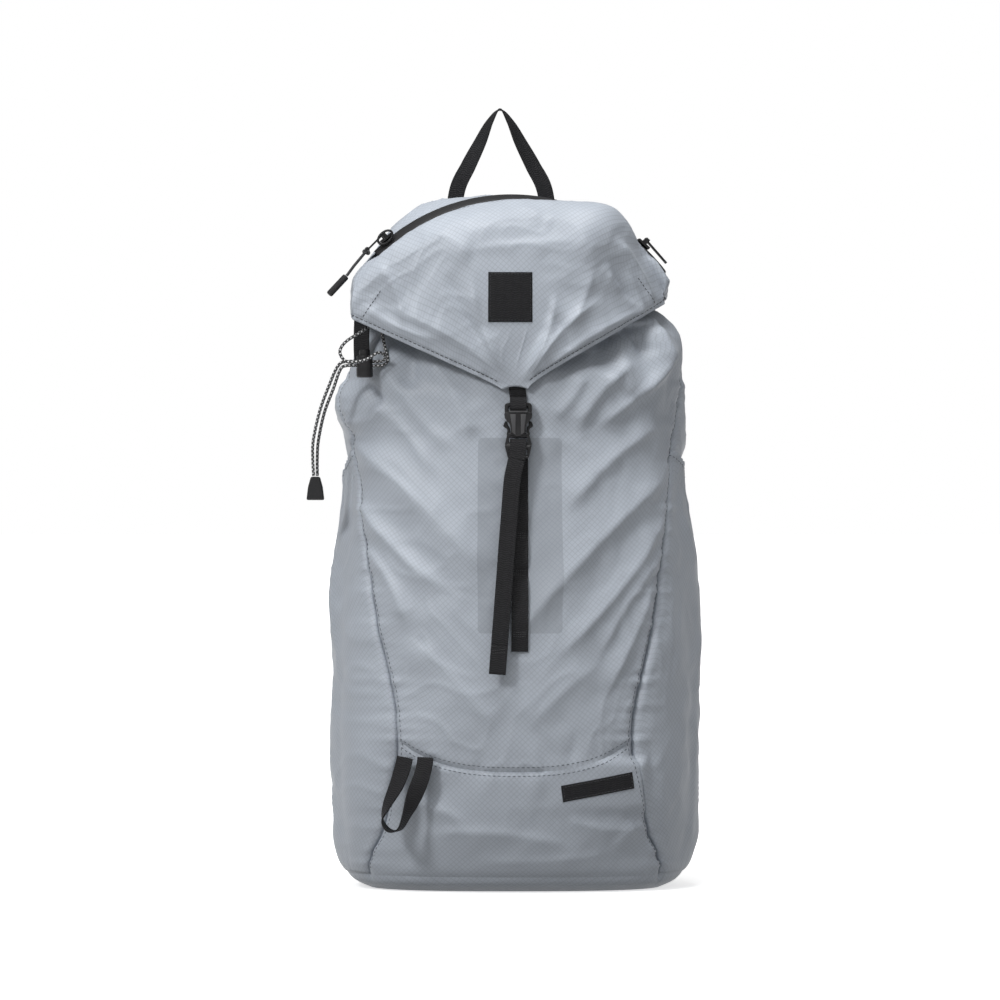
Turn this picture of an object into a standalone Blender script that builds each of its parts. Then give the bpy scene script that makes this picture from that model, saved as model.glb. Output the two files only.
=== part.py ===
"""Top-lid daypack with a drawcord collar, a zipped lid pocket and webbing closure.

Run with: blender --background --python part.py
Row frame in metres: +Z up, the front faces -Y, +X is to the right seen from the front.
The origin is the middle of the flat base. Lengths below are in millimetres times MM.
"""

import math

import bmesh
import bpy
from mathutils import Matrix, Vector

MM = 0.001

# ---------------------------------------------------------------- driving dimensions
SKIN = 1.5 * MM  # fabric shells, with their lining and binding
SEAM_GAP = 0.7  # degrees left free on each side of an upright seam
ROW_GAP = 0.6 * MM  # left free on each side of a level seam
BASE_GAP = 1.6 * MM  # the same above the base, whose rim slopes
TOUCH = 0.4 * MM  # gap between pieces that rest on each other

BASE_TOP = 12 * MM
BODY_TOP = 400 * MM
POCKET_TOP = 334 * MM
POCKET_FOOT = 30 * MM
BACK_SEAM = 128.0  # degrees round from the front centre

WEB_WIDTH = 12.7 * MM
WEB_THICK = 1.2 * MM

LID_AXIS_X = -1.5 * MM  # the lid's crown is turned about this level axis
LID_AXIS_Z = 380 * MM
ZIP_RADIUS = 151.4 * MM
ZIP_Y = -48 * MM
ZIP_YAW = math.radians(10)
ZIP_LEFT = 140.0  # degrees about the lid's axis, from +X
ZIP_RIGHT = 43.0
LID_LEFT = 156.0
LID_RIGHT = 27.0
HINGE = Vector((0, 86, 457)) * MM

CORD = 2.4 * MM

# Skin of the pack: height, half width, front, back, roundness (2 is an ellipse).
BODY_KEYS = [
    (0, 112, -62, 70, 2.6),
    (4, 121, -72, 78, 2.6),
    (12, 130, -80, 83, 2.6),
    (30, 138, -89, 86, 2.6),
    (60, 141, -97, 87, 2.6),
    (100, 141, -102, 87, 2.6),
    (150, 141, -104, 87, 2.6),
    (200, 139, -102, 87, 2.6),
    (250, 136, -98, 87, 2.6),
    (300, 133, -93, 87, 2.6),
    (350, 130, -87, 87, 2.5),
    (400, 126, -84, 84, 2.4),
    (425, 120, -75, 77, 2.3),
    (447, 101, -59, 63, 2.2),
    (462, 76, -42, 48, 2.1),
    (470, 62, -32, 42, 2.0),
]
# Angle of the front seams, in degrees round from the front centre, against height.
SEAM_KEYS = [(0, 60), (20, 55), (45, 45), (75, 40), (117, 36), (135, 37)]
SEAM_KEYS += [(190, 45.5), (240, 54), (300, 65), (345, 74.5), (400, 86)]
# Lid outline through its middle: place along the lid, depth, radius about the lid's axis.
LID_KEYS = [
    (0.00, -92.0, 4.0),
    (0.08, -94.5, 36.0),
    (0.16, -95.5, 64.0),
    (0.24, -94.0, 90.0),
    (0.32, -89.0, 113.0),
    (0.39, -81.5, 131.0),
    (0.45, -71.5, 143.5),
    (0.50, -62.0, 149.4),
    (0.53, -55.4, 151.0),
    (0.55, -48.0, 151.4),
    (0.57, -40.6, 151.2),
    (0.63, -24.0, 150.2),
    (0.72, 2.0, 146.5),
    (0.81, 30.0, 138.0),
    (0.90, 58.0, 121.0),
    (0.96, 75.0, 103.0),
    (1.00, 85.0, 88.0),
]
ZIP_FRONT_AT = 0.53
ZIP_REAR_AT = 0.57


# ---------------------------------------------------------------- scene
for old in list(bpy.data.objects):
    bpy.data.objects.remove(old)
pack = bpy.data.collections.new("daypack")
helpers = bpy.data.collections.new("cutters")
bpy.context.scene.collection.children.link(pack)
bpy.context.scene.collection.children.link(helpers)


def material(name, colour, roughness, metallic=0.0):
    made = bpy.data.materials.new(name)
    made.use_nodes = True
    shader = made.node_tree.nodes["Principled BSDF"]
    shader.inputs["Base Color"].default_value = (*colour, 1)
    shader.inputs["Roughness"].default_value = roughness
    shader.inputs["Metallic"].default_value = metallic
    return made


GREY = material("ripstop_grey", (0.42, 0.46, 0.51), 0.45)
LINING = material("lining_grey", (0.30, 0.33, 0.37), 0.6)
WEBBING = material("webbing_black", (0.012, 0.012, 0.014), 0.7)
PLASTIC = material("plastic_black", (0.015, 0.015, 0.017), 0.35)
MESH = material("air_mesh_black", (0.02, 0.02, 0.023), 0.85)
CORD_BLACK = material("cord_black", (0.02, 0.02, 0.022), 0.6)
STEEL = material("spring_steel", (0.6, 0.6, 0.62), 0.3, 1.0)


# ---------------------------------------------------------------- helpers
def keyed(keys, at, column):
    """Value of one column of a table of keys, read in straight lines between them."""
    at = min(max(at, keys[0][0]), keys[-1][0])
    for low, high in zip(keys, keys[1:]):
        if at <= high[0]:
            share = (at - low[0]) / (high[0] - low[0])
            return low[column] + share * (high[column] - low[column])
    return keys[-1][column]


def spaced(start, end, count):
    """count + 1 even values from start to end."""
    return [start + (end - start) * i / count for i in range(count + 1)]


def smooth(share):
    share = min(max(share, 0.0), 1.0)
    return share * share * (3 - 2 * share)


def add_mesh(name, mesh_data, mat, where=pack):
    mesh = bpy.data.meshes.new(name)
    mesh_data.to_mesh(mesh)
    mesh_data.free()
    mesh.materials.append(mat)
    made = bpy.data.objects.new(name, mesh)
    where.objects.link(made)
    return made


def solidify(obj, thickness, offset=-1.0):
    made = obj.modifiers.new("thickness", "SOLIDIFY")
    made.thickness = thickness
    made.offset = offset
    made.use_even_offset = True
    return made


def bevel(obj, width, segments=2):
    made = obj.modifiers.new("rounded", "BEVEL")
    made.width = width
    made.segments = segments
    made.limit_method = "ANGLE"
    return made


def sheet(name, rows, mat, thickness=SKIN, offset=-1.0, ring=False, cap=False):
    """Fabric piece from rows of points, lowest row first and each row running to the right."""
    bm = bmesh.new()
    grid = [[bm.verts.new(p) for p in row] for row in rows]
    for low, high in zip(grid, grid[1:]):
        columns = range(len(low) if ring else len(low) - 1)
        for i in columns:
            j = (i + 1) % len(low)
            bm.faces.new((low[i], low[j], high[j], high[i]))
    if cap:
        bm.faces.new(list(reversed(grid[0])))
    made = add_mesh(name, bm, mat)
    solidify(made, thickness, offset)
    return made


def ribbon(name, stations, width=WEB_WIDTH, thickness=WEB_THICK, mat=WEBBING):
    """Webbing through stations of (middle point, direction across), both in millimetres."""
    rows = []
    for middle, across in stations:
        half = Vector(across).normalized() * (width / 2)
        middle = Vector(middle) * MM
        rows.append([middle - half, middle, middle + half])
    return sheet(name, rows, mat, thickness, offset=0.0)


def block(name, size, mat, matrix=Matrix(), rounding=0.0, where=pack):
    """Box of a size in millimetres, centred, then moved by matrix."""
    bm = bmesh.new()
    bmesh.ops.create_cube(bm, size=1.0)
    bmesh.ops.scale(bm, vec=Vector(size) * MM, verts=bm.verts)
    made = add_mesh(name, bm, mat, where)
    made.matrix_world = matrix
    if rounding:
        bevel(made, rounding * MM)
    return made


def rod(name, radius, length, mat, matrix=Matrix(), sides=20, top_radius=None, rounding=0.0, where=pack):
    """Cylinder or cone along its own Z, centred, sizes in millimetres."""
    bm = bmesh.new()
    bmesh.ops.create_cone(
        bm,
        cap_ends=True,
        segments=sides,
        radius1=radius * MM,
        radius2=(radius if top_radius is None else top_radius) * MM,
        depth=length * MM,
    )
    made = add_mesh(name, bm, mat, where)
    made.matrix_world = matrix
    if rounding:
        bevel(made, rounding * MM)
    return made


def plate(name, outline, thickness, mat, matrix=Matrix(), where=pack, rounding=0.0):
    """Flat plate from an outline in millimetres in its own XY, centred on Z."""
    bm = bmesh.new()
    verts = [bm.verts.new((x * MM, y * MM, -thickness * MM / 2)) for x, y in outline]
    face = bm.faces.new(verts)
    top = bmesh.ops.extrude_face_region(bm, geom=[face])["geom"]
    moved = [item for item in top if isinstance(item, bmesh.types.BMVert)]
    bmesh.ops.translate(bm, vec=(0, 0, thickness * MM), verts=moved)
    bmesh.ops.recalc_face_normals(bm, faces=bm.faces)
    made = add_mesh(name, bm, mat, where)
    made.matrix_world = matrix
    if rounding:
        bevel(made, rounding * MM)
    return made


def tube(name, points, diameter, mat, sides_level=2, cyclic=False):
    """Round cord or wire through points in metres."""
    curve = bpy.data.curves.new(name, "CURVE")
    curve.dimensions = "3D"
    curve.bevel_depth = diameter / 2
    curve.bevel_resolution = sides_level
    curve.use_fill_caps = True
    line = curve.splines.new("POLY")
    line.points.add(len(points) - 1)
    for spot, point in zip(line.points, points):
        spot.co = (*point, 1)
    line.use_cyclic_u = cyclic
    curve.materials.append(mat)
    made = bpy.data.objects.new(name, curve)
    pack.objects.link(made)
    return made


def smooth_line(points, count):
    """count + 1 points evenly along a Catmull-Rom curve through points in millimetres."""
    points = [Vector(p) * MM for p in points]
    ends = [2 * points[0] - points[1], *points, 2 * points[-1] - points[-2]]
    dense = []
    for a, b, c, d in zip(ends, ends[1:], ends[2:], ends[3:]):
        for step in range(12):
            t = step / 12
            dense.append(
                0.5 * (2 * b + (c - a) * t + (2 * a - 5 * b + 4 * c - d) * t * t + (3 * b - a - 3 * c + d) * t**3)
            )
    dense.append(points[-1])
    run = [0.0]
    for a, b in zip(dense, dense[1:]):
        run.append(run[-1] + (b - a).length)
    found = []
    place = 0
    for target in spaced(0, run[-1], count):
        while place < len(run) - 2 and run[place + 1] < target:
            place += 1
        share = (target - run[place]) / max(run[place + 1] - run[place], 1e-12)
        found.append(dense[place].lerp(dense[place + 1], min(share, 1.0)))
    return found


def boolean(obj, other, operation):
    made = obj.modifiers.new(operation.lower(), "BOOLEAN")
    made.operation = operation
    made.object = other
    made.solver = "EXACT"
    other.hide_render = True
    other.display_type = "WIRE"


def cut(obj, *others):
    for other in others:
        boolean(obj, other, "DIFFERENCE")


def join(obj, *others):
    for other in others:
        boolean(obj, other, "UNION")


def frame_of(origin, x_axis, y_axis):
    """Matrix whose own X and Y lie along these directions, at an origin in metres."""
    x_axis = Vector(x_axis).normalized()
    z_axis = x_axis.cross(Vector(y_axis)).normalized()
    y_axis = z_axis.cross(x_axis)
    made = Matrix((x_axis, y_axis, z_axis)).transposed().to_4x4()
    made.translation = origin
    return made


def at(x, y, z):
    """Matrix that moves by millimetres."""
    return Matrix.Translation(Vector((x, y, z)) * MM)


# ---------------------------------------------------------------- pack body
def skin(angle, z, out=0.0):
    """Point of the pack's skin at an angle round from the front centre, in degrees, +X first."""
    half, front, back, power = (keyed(BODY_KEYS, z / MM, column) for column in (1, 2, 3, 4))
    half = half * MM + out
    middle, depth = (front + back) / 2 * MM, (back - front) / 2 * MM + out
    s, c = math.sin(math.radians(angle)), math.cos(math.radians(angle))
    x = math.copysign(half * abs(s) ** (2 / power), s)
    y = middle - math.copysign(depth * abs(c) ** (2 / power), c)
    return Vector((x, y, z))


def front_seam(z):
    return keyed(SEAM_KEYS, z / MM, 1)


def cross_seam(angle):
    """Height of the curved seam over the lower front panel."""
    return (93 + 24 * (angle / 36) ** 2) * MM


def wall(name, first, last, bottom, top, columns, heights, mat=GREY, out=0.0, thickness=SKIN):
    """Skin panel between two upright seams, each an angle against height."""
    rows = []
    for share in heights:
        row = []
        for i in range(columns + 1):
            z_guess = bottom(0) + share * (top(0) - bottom(0))
            angle = first(z_guess) + (last(z_guess) - first(z_guess)) * i / columns
            z = bottom(angle) + share * (top(angle) - bottom(angle))
            angle = first(z) + (last(z) - first(z)) * i / columns
            row.append(skin(angle, z, out))
        rows.append(row)
    return sheet(name, rows, mat, thickness)


def level(z):
    return lambda angle: z


# Heights of the rows in every wall, in millimetres, shared so that seams run side by side.
LEVELS = (20, 32, 45, 75, 117, 135, 190, 240, 300, 350)


def shares(bottom, top):
    """Shares of the way from bottom to top, in metres, that land on the shared levels."""
    inside = [z * MM for z in LEVELS if bottom < z * MM - 1.5 * MM and z * MM + 1.5 * MM < top]
    return [(z - bottom) / (top - bottom) for z in [bottom, *inside, top]]


SEAM_CORNER = cross_seam(36)

wall(
    "front_panel",
    lambda z: -front_seam(z) + SEAM_GAP,
    lambda z: front_seam(z) - SEAM_GAP,
    lambda a: cross_seam(a) + ROW_GAP,
    level(BODY_TOP - ROW_GAP),
    12,
    shares(SEAM_CORNER + ROW_GAP, BODY_TOP - ROW_GAP),
)
wall(
    "lower_front_panel",
    lambda z: -front_seam(z) + SEAM_GAP,
    lambda z: front_seam(z) - SEAM_GAP,
    level(BASE_TOP + BASE_GAP),
    lambda a: cross_seam(a) - ROW_GAP,
    12,
    shares(BASE_TOP + BASE_GAP, SEAM_CORNER - ROW_GAP),
)
WALL_SHARES = shares(BASE_TOP + BASE_GAP, BODY_TOP - ROW_GAP)
SIDE_COLUMNS = 10
SIDE_INSET = -11 * MM  # the side panel lies behind its pocket


def side_panel(side, sign):
    rows = []
    for share in WALL_SHARES:
        z = BASE_TOP + BASE_GAP + share * (BODY_TOP - BASE_TOP - BASE_GAP - ROW_GAP)
        start = front_seam(z) + SEAM_GAP
        depth = smooth((POCKET_TOP + 26 * MM - z) / (40 * MM)) * smooth((z - BASE_TOP) / (60 * MM))
        row = []
        for across in spaced(0, 1, SIDE_COLUMNS):
            angle = sign * (start + (BACK_SEAM - SEAM_GAP - start) * across)
            row.append(skin(angle, z, SIDE_INSET * math.sin(math.pi * across) * depth))
        rows.append(row if sign > 0 else row[::-1])
    sheet(f"side_panel_{side}", rows, GREY)


def side_pocket(side, sign):
    """Bowed outer wall over the side panel, open along its sloping top hem."""
    rows = []
    for share in (0, 0.06, 0.14, 0.3, 0.5, 0.7, 0.88, 1):
        row = []
        for across in spaced(0, 1, SIDE_COLUMNS):
            z_top = POCKET_TOP + (4 - 30 * across) * MM
            z = POCKET_FOOT + share * (z_top - POCKET_FOOT)
            start = front_seam(z) + 2.0
            angle = sign * (start + (BACK_SEAM - 2.0 - start) * across)
            bow = math.sin(math.pi * across) ** 0.8 * math.sin(math.pi * min(share * 1.2, 1) * 0.5)
            row.append(skin(angle, z, (1.0 + 2.4 * bow) * MM))
        rows.append(row if sign > 0 else row[::-1])
    sheet(f"side_pocket_{side}", rows, GREY, 1.2 * MM, offset=1.0)


for side, sign in (("right", 1), ("left", -1)):
    side_panel(side, sign)
    side_pocket(side, sign)

# Base: a flat floor that turns up into a rim.
base_rings = []
for z in (0, 1.2, 4, 8, BASE_TOP / MM):
    base_rings.append([skin(a, z * MM) for a in spaced(0, 360, 36)[:-1]])
sheet("base_panel", base_rings, GREY, ring=True, cap=True)

wall(
    "back_panel",
    lambda z: BACK_SEAM + SEAM_GAP,
    lambda z: 360 - BACK_SEAM - SEAM_GAP,
    level(BASE_TOP + BASE_GAP),
    level(BODY_TOP - ROW_GAP),
    8,
    WALL_SHARES,
)

# Collar: gathered skirt above the body, closed by the drawcord in its hem.
collar_rows = []
for z in (401.2, 412, 425, 436, 447, 462, 470):
    collar_rows.append([skin(a, z * MM) for a in spaced(0, 360, 36)[:-1]])
sheet("collar", collar_rows, GREY, ring=True)


def skin_at(x, z, out=0.0):
    """Point of the front skin at this x and z, in millimetres."""
    low, high = -90.0, 90.0
    for _ in range(30):
        middle = (low + high) / 2
        if skin(middle, z * MM).x < x * MM:
            low = middle
        else:
            high = middle
    return skin(low, z * MM, out * MM)


def skin_sheet(name, corners, columns, rows_count, mat, out, thickness):
    """Sheet laid on the front skin between four (x, z) corners in millimetres, lower left first."""
    (ax, az), (bx, bz), (cx, cz), (dx, dz) = corners
    rows = []
    for v in spaced(0, 1, rows_count):
        row = []
        for u in spaced(0, 1, columns):
            x = (ax + (bx - ax) * u) * (1 - v) + (dx + (cx - dx) * u) * v
            z = (az + (bz - az) * u) * (1 - v) + (dz + (cz - dz) * u) * v
            row.append(skin_at(x, z, out))
        rows.append(row)
    return sheet(name, rows, mat, thickness * MM, offset=1.0)


def pivot(point, *objects):
    """Puts the origins of pieces on their joint's axis, at a point in metres."""
    for obj in objects:
        away = Matrix.Translation(-Vector(point))
        obj.data.transform(away @ obj.matrix_world)
        obj.matrix_world = Matrix.Translation(Vector(point))


# ---------------------------------------------------------------- front of the pack
# Stiffener sewn inside the front panel, behind the daisy chain.
skin_sheet(
    "reinforcement_patch",
    [(-28, 197), (36, 197), (36, 346), (-28, 346)],
    4,
    8,
    LINING,
    -4.0,
    0.8,
)
skin_sheet("hem_label", [(36, 70), (90.5, 80), (89, 92.5), (34.5, 82.5)], 6, 2, WEBBING, 0.5, 0.8)

DAISY_X = 3.4
TACKS = [303.7, 271.6, 243.3, 197.0]


def daisy_chain():
    """Webbing tacked down the front, standing off in loops, its top end running up behind the buckle."""
    stations = [((DAISY_X, skin_at(DAISY_X, 184, 1.5).y / MM, 184), (1, 0, 0))]
    for low, high in zip(TACKS[::-1], TACKS[-2::-1]):
        for share, out in ((0, 1.5), (0.25, 3.0), (0.5, 3.6), (0.75, 3.0)):
            z = low + (high - low) * share
            stations.append(((DAISY_X, skin_at(DAISY_X, z, out).y / MM, z), (1, 0, 0)))
    for z in (TACKS[0], 318, 332):
        stations.append(((DAISY_X, skin_at(DAISY_X, z, 1.5).y / MM, z), (1, 0, 0)))
    ribbon("daisy_chain", stations)


daisy_chain()


def gear_loop():
    """Twisted webbing loop hanging from the curved seam."""
    route = [
        (-82.5, 104, 1.6, 0),
        (-84.5, 94, 3.4, 0),
        (-88, 82, 6.5, 15),
        (-94, 68, 9.5, 45),
        (-97, 57, 10.5, 75),
        (-92, 49, 10.8, 90),
        (-84, 50, 10.8, 90),
        (-79, 60, 10.5, 105),
        (-74, 74, 8.5, 140),
        (-69.5, 88, 5, 170),
        (-67.5, 98, 2.6, 180),
        (-67, 104, 1.6, 180),
    ]
    stations = []
    level_way = (skin_at(-66, 100) - skin_at(-84, 100)).normalized()
    outward = level_way.cross(Vector((0, 0, 1)))
    hang = skin_at(-75, 104) + outward * 1.0 * MM
    for x, z, out, turn in route:
        turn = math.radians(turn)
        along = (x + 75) / level_way.x
        point = (hang + level_way * along * MM + outward * out * MM) / MM
        point.z = z
        across = level_way * math.cos(turn) + outward * math.sin(turn)
        stations.append((point, across))
    made = ribbon("gear_loop", stations)
    pivot(Vector((-75, skin_at(-75, 104, 1.4).y / MM, 104)) * MM, made)


gear_loop()

# ---------------------------------------------------------------- lid


def lid_point(phi, place, out=0.0):
    """Point of the lid at an angle about its axis and a place along it, out in millimetres."""
    y = keyed(LID_KEYS, place, 1)
    r = keyed(LID_KEYS, place, 2) + out
    rear = smooth((place - 0.57) / 0.1) * (1 - smooth((place - 0.84) / 0.16))
    r *= 1 + 0.075 * rear * math.exp(-(((abs(phi - 88) - 29) / 17) ** 2))
    c, s = math.cos(math.radians(phi)), math.sin(math.radians(phi))
    turned = smooth(place / 0.4) * (1 - smooth((place - 0.58) / 0.36))
    x = LID_AXIS_X / MM + r * c * (1 - turned * (1 - math.cos(ZIP_YAW)))
    z = LID_AXIS_Z / MM + r * s
    y += r * c * math.sin(ZIP_YAW) * turned
    y += 0.0022 * x * x * (1 - smooth((place - 0.28) / 0.27))
    if x < -123:
        x = -123 + (x + 123) * 0.15
    if x > 116:
        x = 116 + (x - 116) * 0.15
    rear_line = smooth((place - 0.7) / 0.3)
    across = (LID_LEFT - phi) / (LID_LEFT - LID_RIGHT)
    flat = Vector((-105 + 210 * across, 86 + 0.4 * out, 457 + out * 0.2))
    return Vector((x, y, z)).lerp(flat, rear_line) * MM


def lid_columns(count=18):
    return spaced(LID_LEFT, LID_RIGHT, count)


def in_zip(phi):
    """1 between the ends of the zip, 0 beyond them."""
    return smooth((ZIP_LEFT + 10 - phi) / 8) * smooth((phi - ZIP_RIGHT + 10) / 8)


def lid_panel(name, places, mat, start=0.0, end=0.0, out=0.0, thickness=SKIN):
    """Lid panel between two seams; start and end say how far each keeps off the zip."""
    rows = []
    for share in places:
        row = []
        for phi in lid_columns():
            low = 0.0 if start is None else 0.556 + (ZIP_REAR_AT - 0.556) * in_zip(phi)
            high = 1.0 if end is None else 0.544 + (ZIP_FRONT_AT - 0.544) * in_zip(phi)
            row.append(lid_point(phi, low + (high - low) * share, out))
        rows.append(row)
    return sheet(name, rows, mat, thickness)


lid_front = lid_panel(
    "lid_front_panel",
    [0, 0.12, 0.3, 0.45, 0.6, 0.74, 0.87, 1],
    GREY,
    start=None,
)
lid_rear = lid_panel("lid_rear_panel", [0, 0.16, 0.36, 0.57, 0.76, 0.9, 1], GREY, end=None)


def zip_tape():
    rows = []
    for place in (ZIP_FRONT_AT + 0.004, 0.55, ZIP_REAR_AT - 0.004):
        rows.append([lid_point(phi, place) for phi in spaced(ZIP_LEFT, ZIP_RIGHT, 22)])
    return sheet("zipper_tape", rows, PLASTIC, 1.0 * MM)


def lid_lining():
    """Inner wall that closes the lid pocket, hanging well below the crown."""
    rows = []
    for place in (0.14, 0.24, 0.34, 0.43, 0.5, 0.6, 0.7, 0.8, 0.89):
        drop = 4 + 14 * math.sin(math.pi * (place - 0.14) / 0.75)
        row = []
        for phi in spaced(LID_LEFT - 13, LID_RIGHT + 13, 12):
            point = lid_point(phi, place, -drop)
            point.y += (5 * (1 - smooth((place - 0.3) / 0.4)) - 8 * smooth((place - 0.6) / 0.25)) * MM
            row.append(point)
        rows.append(row)
    return sheet("lid_lining", rows, LINING, 1.0 * MM)


lid_tape = zip_tape()
lid_inner = lid_lining()


def lid_front_at(x, z, out=0.0):
    """Point of the lid's front at this x and z in millimetres, standing out along -Y."""
    phi = math.degrees(math.atan2(z - LID_AXIS_Z / MM, x - LID_AXIS_X / MM))
    low, high = 0.0, 0.55
    for _ in range(30):
        middle = (low + high) / 2
        if lid_point(phi, middle).z < z * MM:
            low = middle
        else:
            high = middle
    point = lid_point(phi, low)
    return Vector((x * MM, point.y - out * MM, z * MM))


def label_patch():
    rows = []
    for z in spaced(434.5, 472.5, 4):
        rows.append([lid_front_at(x, z, 0.5) for x in spaced(-20.5, 13.0, 4)])
    return sheet("label_patch", rows, WEBBING, 0.8 * MM, offset=1.0)


lid_label = label_patch()

# ---------------------------------------------------------------- haul loop
# Middle of the webbing in millimetres, and how far it has turned to run edge on, in degrees.
LOOP_ROUTE = [
    (-49.5, 90.6, 464, 0),
    (-49.5, 92.2, 482, 0),
    (-49, 93.4, 510, 0),
    (-45.5, 94.6, 543, 4),
    (-36.5, 95, 563, 18),
    (-27.5, 95, 581, 38),
    (-19.5, 95, 598, 64),
    (-11.5, 95, 607.5, 90),
    (-3.5, 95, 598, 116),
    (5, 95, 581, 142),
    (14.5, 95, 563, 162),
    (24, 94.6, 543, 176),
    (27.5, 93.4, 510, 180),
    (28, 92.2, 482, 180),
    (28, 90.6, 464, 180),
]


def haul_loop():
    stations = []
    for x, y, z, turn in LOOP_ROUTE:
        turn = math.radians(turn)
        stations.append(((x, y, z), (math.cos(turn), -math.sin(turn), 0)))
    return ribbon("haul_loop", stations, thickness=1.6 * MM)


pivot((-10.5 * MM, 90.6 * MM, 464 * MM), haul_loop())

# ---------------------------------------------------------------- zip sliders and pulls
ZIP_CENTRE = Vector((LID_AXIS_X, ZIP_Y, LID_AXIS_Z))
ZIP_PLANE_WAY = Vector((math.cos(ZIP_YAW), math.sin(ZIP_YAW), 0))
ZIP_NORMAL = Vector((math.sin(ZIP_YAW), -math.cos(ZIP_YAW), 0))


def zip_frame(phi, out):
    """Frame on the zip: own X along it (clockwise seen from the front), Z out, Y across."""
    c, s = math.cos(math.radians(phi)), math.sin(math.radians(phi))
    outward = ZIP_PLANE_WAY * c + Vector((0, 0, s))
    along = ZIP_PLANE_WAY * s - Vector((0, 0, c))
    made = Matrix((along, outward.cross(along), outward)).transposed().to_4x4()
    made.translation = ZIP_CENTRE + outward * (ZIP_RADIUS + out * MM)
    return made


def zip_slider(name, phi):
    """Slider with two ears that hold its pull on a cross pin."""
    place = zip_frame(phi, 0)
    body = block(name, (11, 8, 2.2), PLASTIC, place @ at(0, 0, 1.9), rounding=0.5)
    for sign in (1, -1):
        ear = block(f"{name}_ear_{'a' if sign > 0 else 'b'}", (3.4, 1.2, 4.8), PLASTIC, where=helpers)
        ear.matrix_world = place @ at(0, sign * 2.9, 4.8)
        join(body, ear)
    pin = rod(f"{name}_pin", 0.6, 6.2, PLASTIC, sides=10, where=helpers)
    pin.matrix_world = place @ at(0, 0, 5.6) @ Matrix.Rotation(math.pi / 2, 4, "X")
    join(body, pin)
    return body, place @ Vector((0, 0, 5.6 * MM))


def pull_frame(hinge, direction):
    """Frame of a pull: own X away from its pin, Y along the pin, Z out."""
    return frame_of(hinge, direction, -ZIP_NORMAL)


SLIDER_LEFT_AT = 129.9
SLIDER_RIGHT_AT = 48.5
slider_left, pin_left = zip_slider("zipper_slider_left", SLIDER_LEFT_AT)
slider_right, pin_right = zip_slider("zipper_slider_right", SLIDER_RIGHT_AT)


def pull_root(name, frame):
    """Round eye of a pull, free to turn on the slider's pin between the ears."""
    eye = rod(name, 1.9, 3.8, PLASTIC, sides=16)
    eye.matrix_world = frame @ Matrix.Rotation(math.pi / 2, 4, "X")
    hole = rod(f"{name}_hole", 0.95, 8, PLASTIC, sides=12, where=helpers)
    hole.matrix_world = eye.matrix_world.copy()
    return eye, hole


def pull_left():
    """Stiff tab, then a cord loop, then a moulded tip."""
    way = Vector((-0.70, -0.10, -0.71)).normalized()
    frame = pull_frame(pin_left, way)
    eye, hole = pull_root("pull_tab_left", frame)
    tab = block("pull_tab_left_blade", (16, 3.6, 1.2), PLASTIC, where=helpers)
    tab.matrix_world = frame @ at(9.2, 0, 0)
    join(eye, tab)
    cut(eye, hole)
    start = frame @ (Vector((17.7, 0, 0)) * MM)
    bend = start + Vector((-9.5, -1, -11.5)) * MM
    finish = start + Vector((-15, -2, -19)) * MM
    points = [start.lerp(bend, i / 4) for i in range(4)] + [bend.lerp(finish, i / 3) for i in range(4)]
    cord = tube("pull_cord_left", points, 2.2 * MM, CORD_BLACK)
    tip_way = Vector((-0.68, -0.05, -0.73)).normalized()
    tip_frame = frame_of(finish + tip_way * 10.2 * MM, tip_way, Vector((0, 1, 0)))
    tip = rod("pull_tip_left", 2.6, 19.6, PLASTIC, tip_frame @ Matrix.Rotation(math.pi / 2, 4, "Y"), sides=16)
    bevel(tip, 1.2 * MM)
    return eye, cord, tip


def pull_right():
    way = Vector((0.66, 0.05, -0.75)).normalized()
    frame = pull_frame(pin_right, way)
    eye, hole = pull_root("pull_tab_right", frame)
    blade = block("pull_tab_right_blade", (22, 3.8, 1.3), PLASTIC, where=helpers)
    blade.matrix_world = frame @ at(12.2, 0, 0)
    join(eye, blade)
    cut(eye, hole)
    return eye


left_pull = pull_left()
right_pull = pull_right()

# ---------------------------------------------------------------- lid strap and buckle
BUCKLE_X = 2.3
BUCKLE_Y = -95.0
BUCKLE_TILT = math.radians(-7)  # it lies along the pack, its foot forward
BUCKLE_FRAME = at(BUCKLE_X, BUCKLE_Y, 350) @ Matrix.Rotation(BUCKLE_TILT, 4, "X") @ at(0, 0, -350)


def in_buckle(x, y, z):
    return BUCKLE_FRAME @ at(x, y, z)


def strap_at(y, z, x=0.0):
    """Ribbon station in the buckle's own frame, in millimetres."""
    return (BUCKLE_FRAME @ (Vector((x, y, z)) * MM) / MM, (1, 0, 0))


def lid_strap():
    """Sewn inside the flap's point and folded round the top bar of the socket."""
    stations = [
        ((1.2, -87.6, 397), (1, 0, 0)),
        ((1.4, -87.8, 388), (1, 0, 0)),
        ((1.7, -88.2, 381.5), (1, 0, 0)),
        strap_at(3.4, 376.0),
        strap_at(3.1, 373.0),
        strap_at(3.0, 369.0),
        strap_at(1.8, 366.6),
        strap_at(0, 366.1),
        strap_at(-3.8, 366.3),
        strap_at(-5.1, 367.6),
        strap_at(-5.1, 370.5),
        strap_at(-4.6, 373.2),
        strap_at(-2.0, 375.6),
    ]
    return ribbon("lid_strap", stations)


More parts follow.
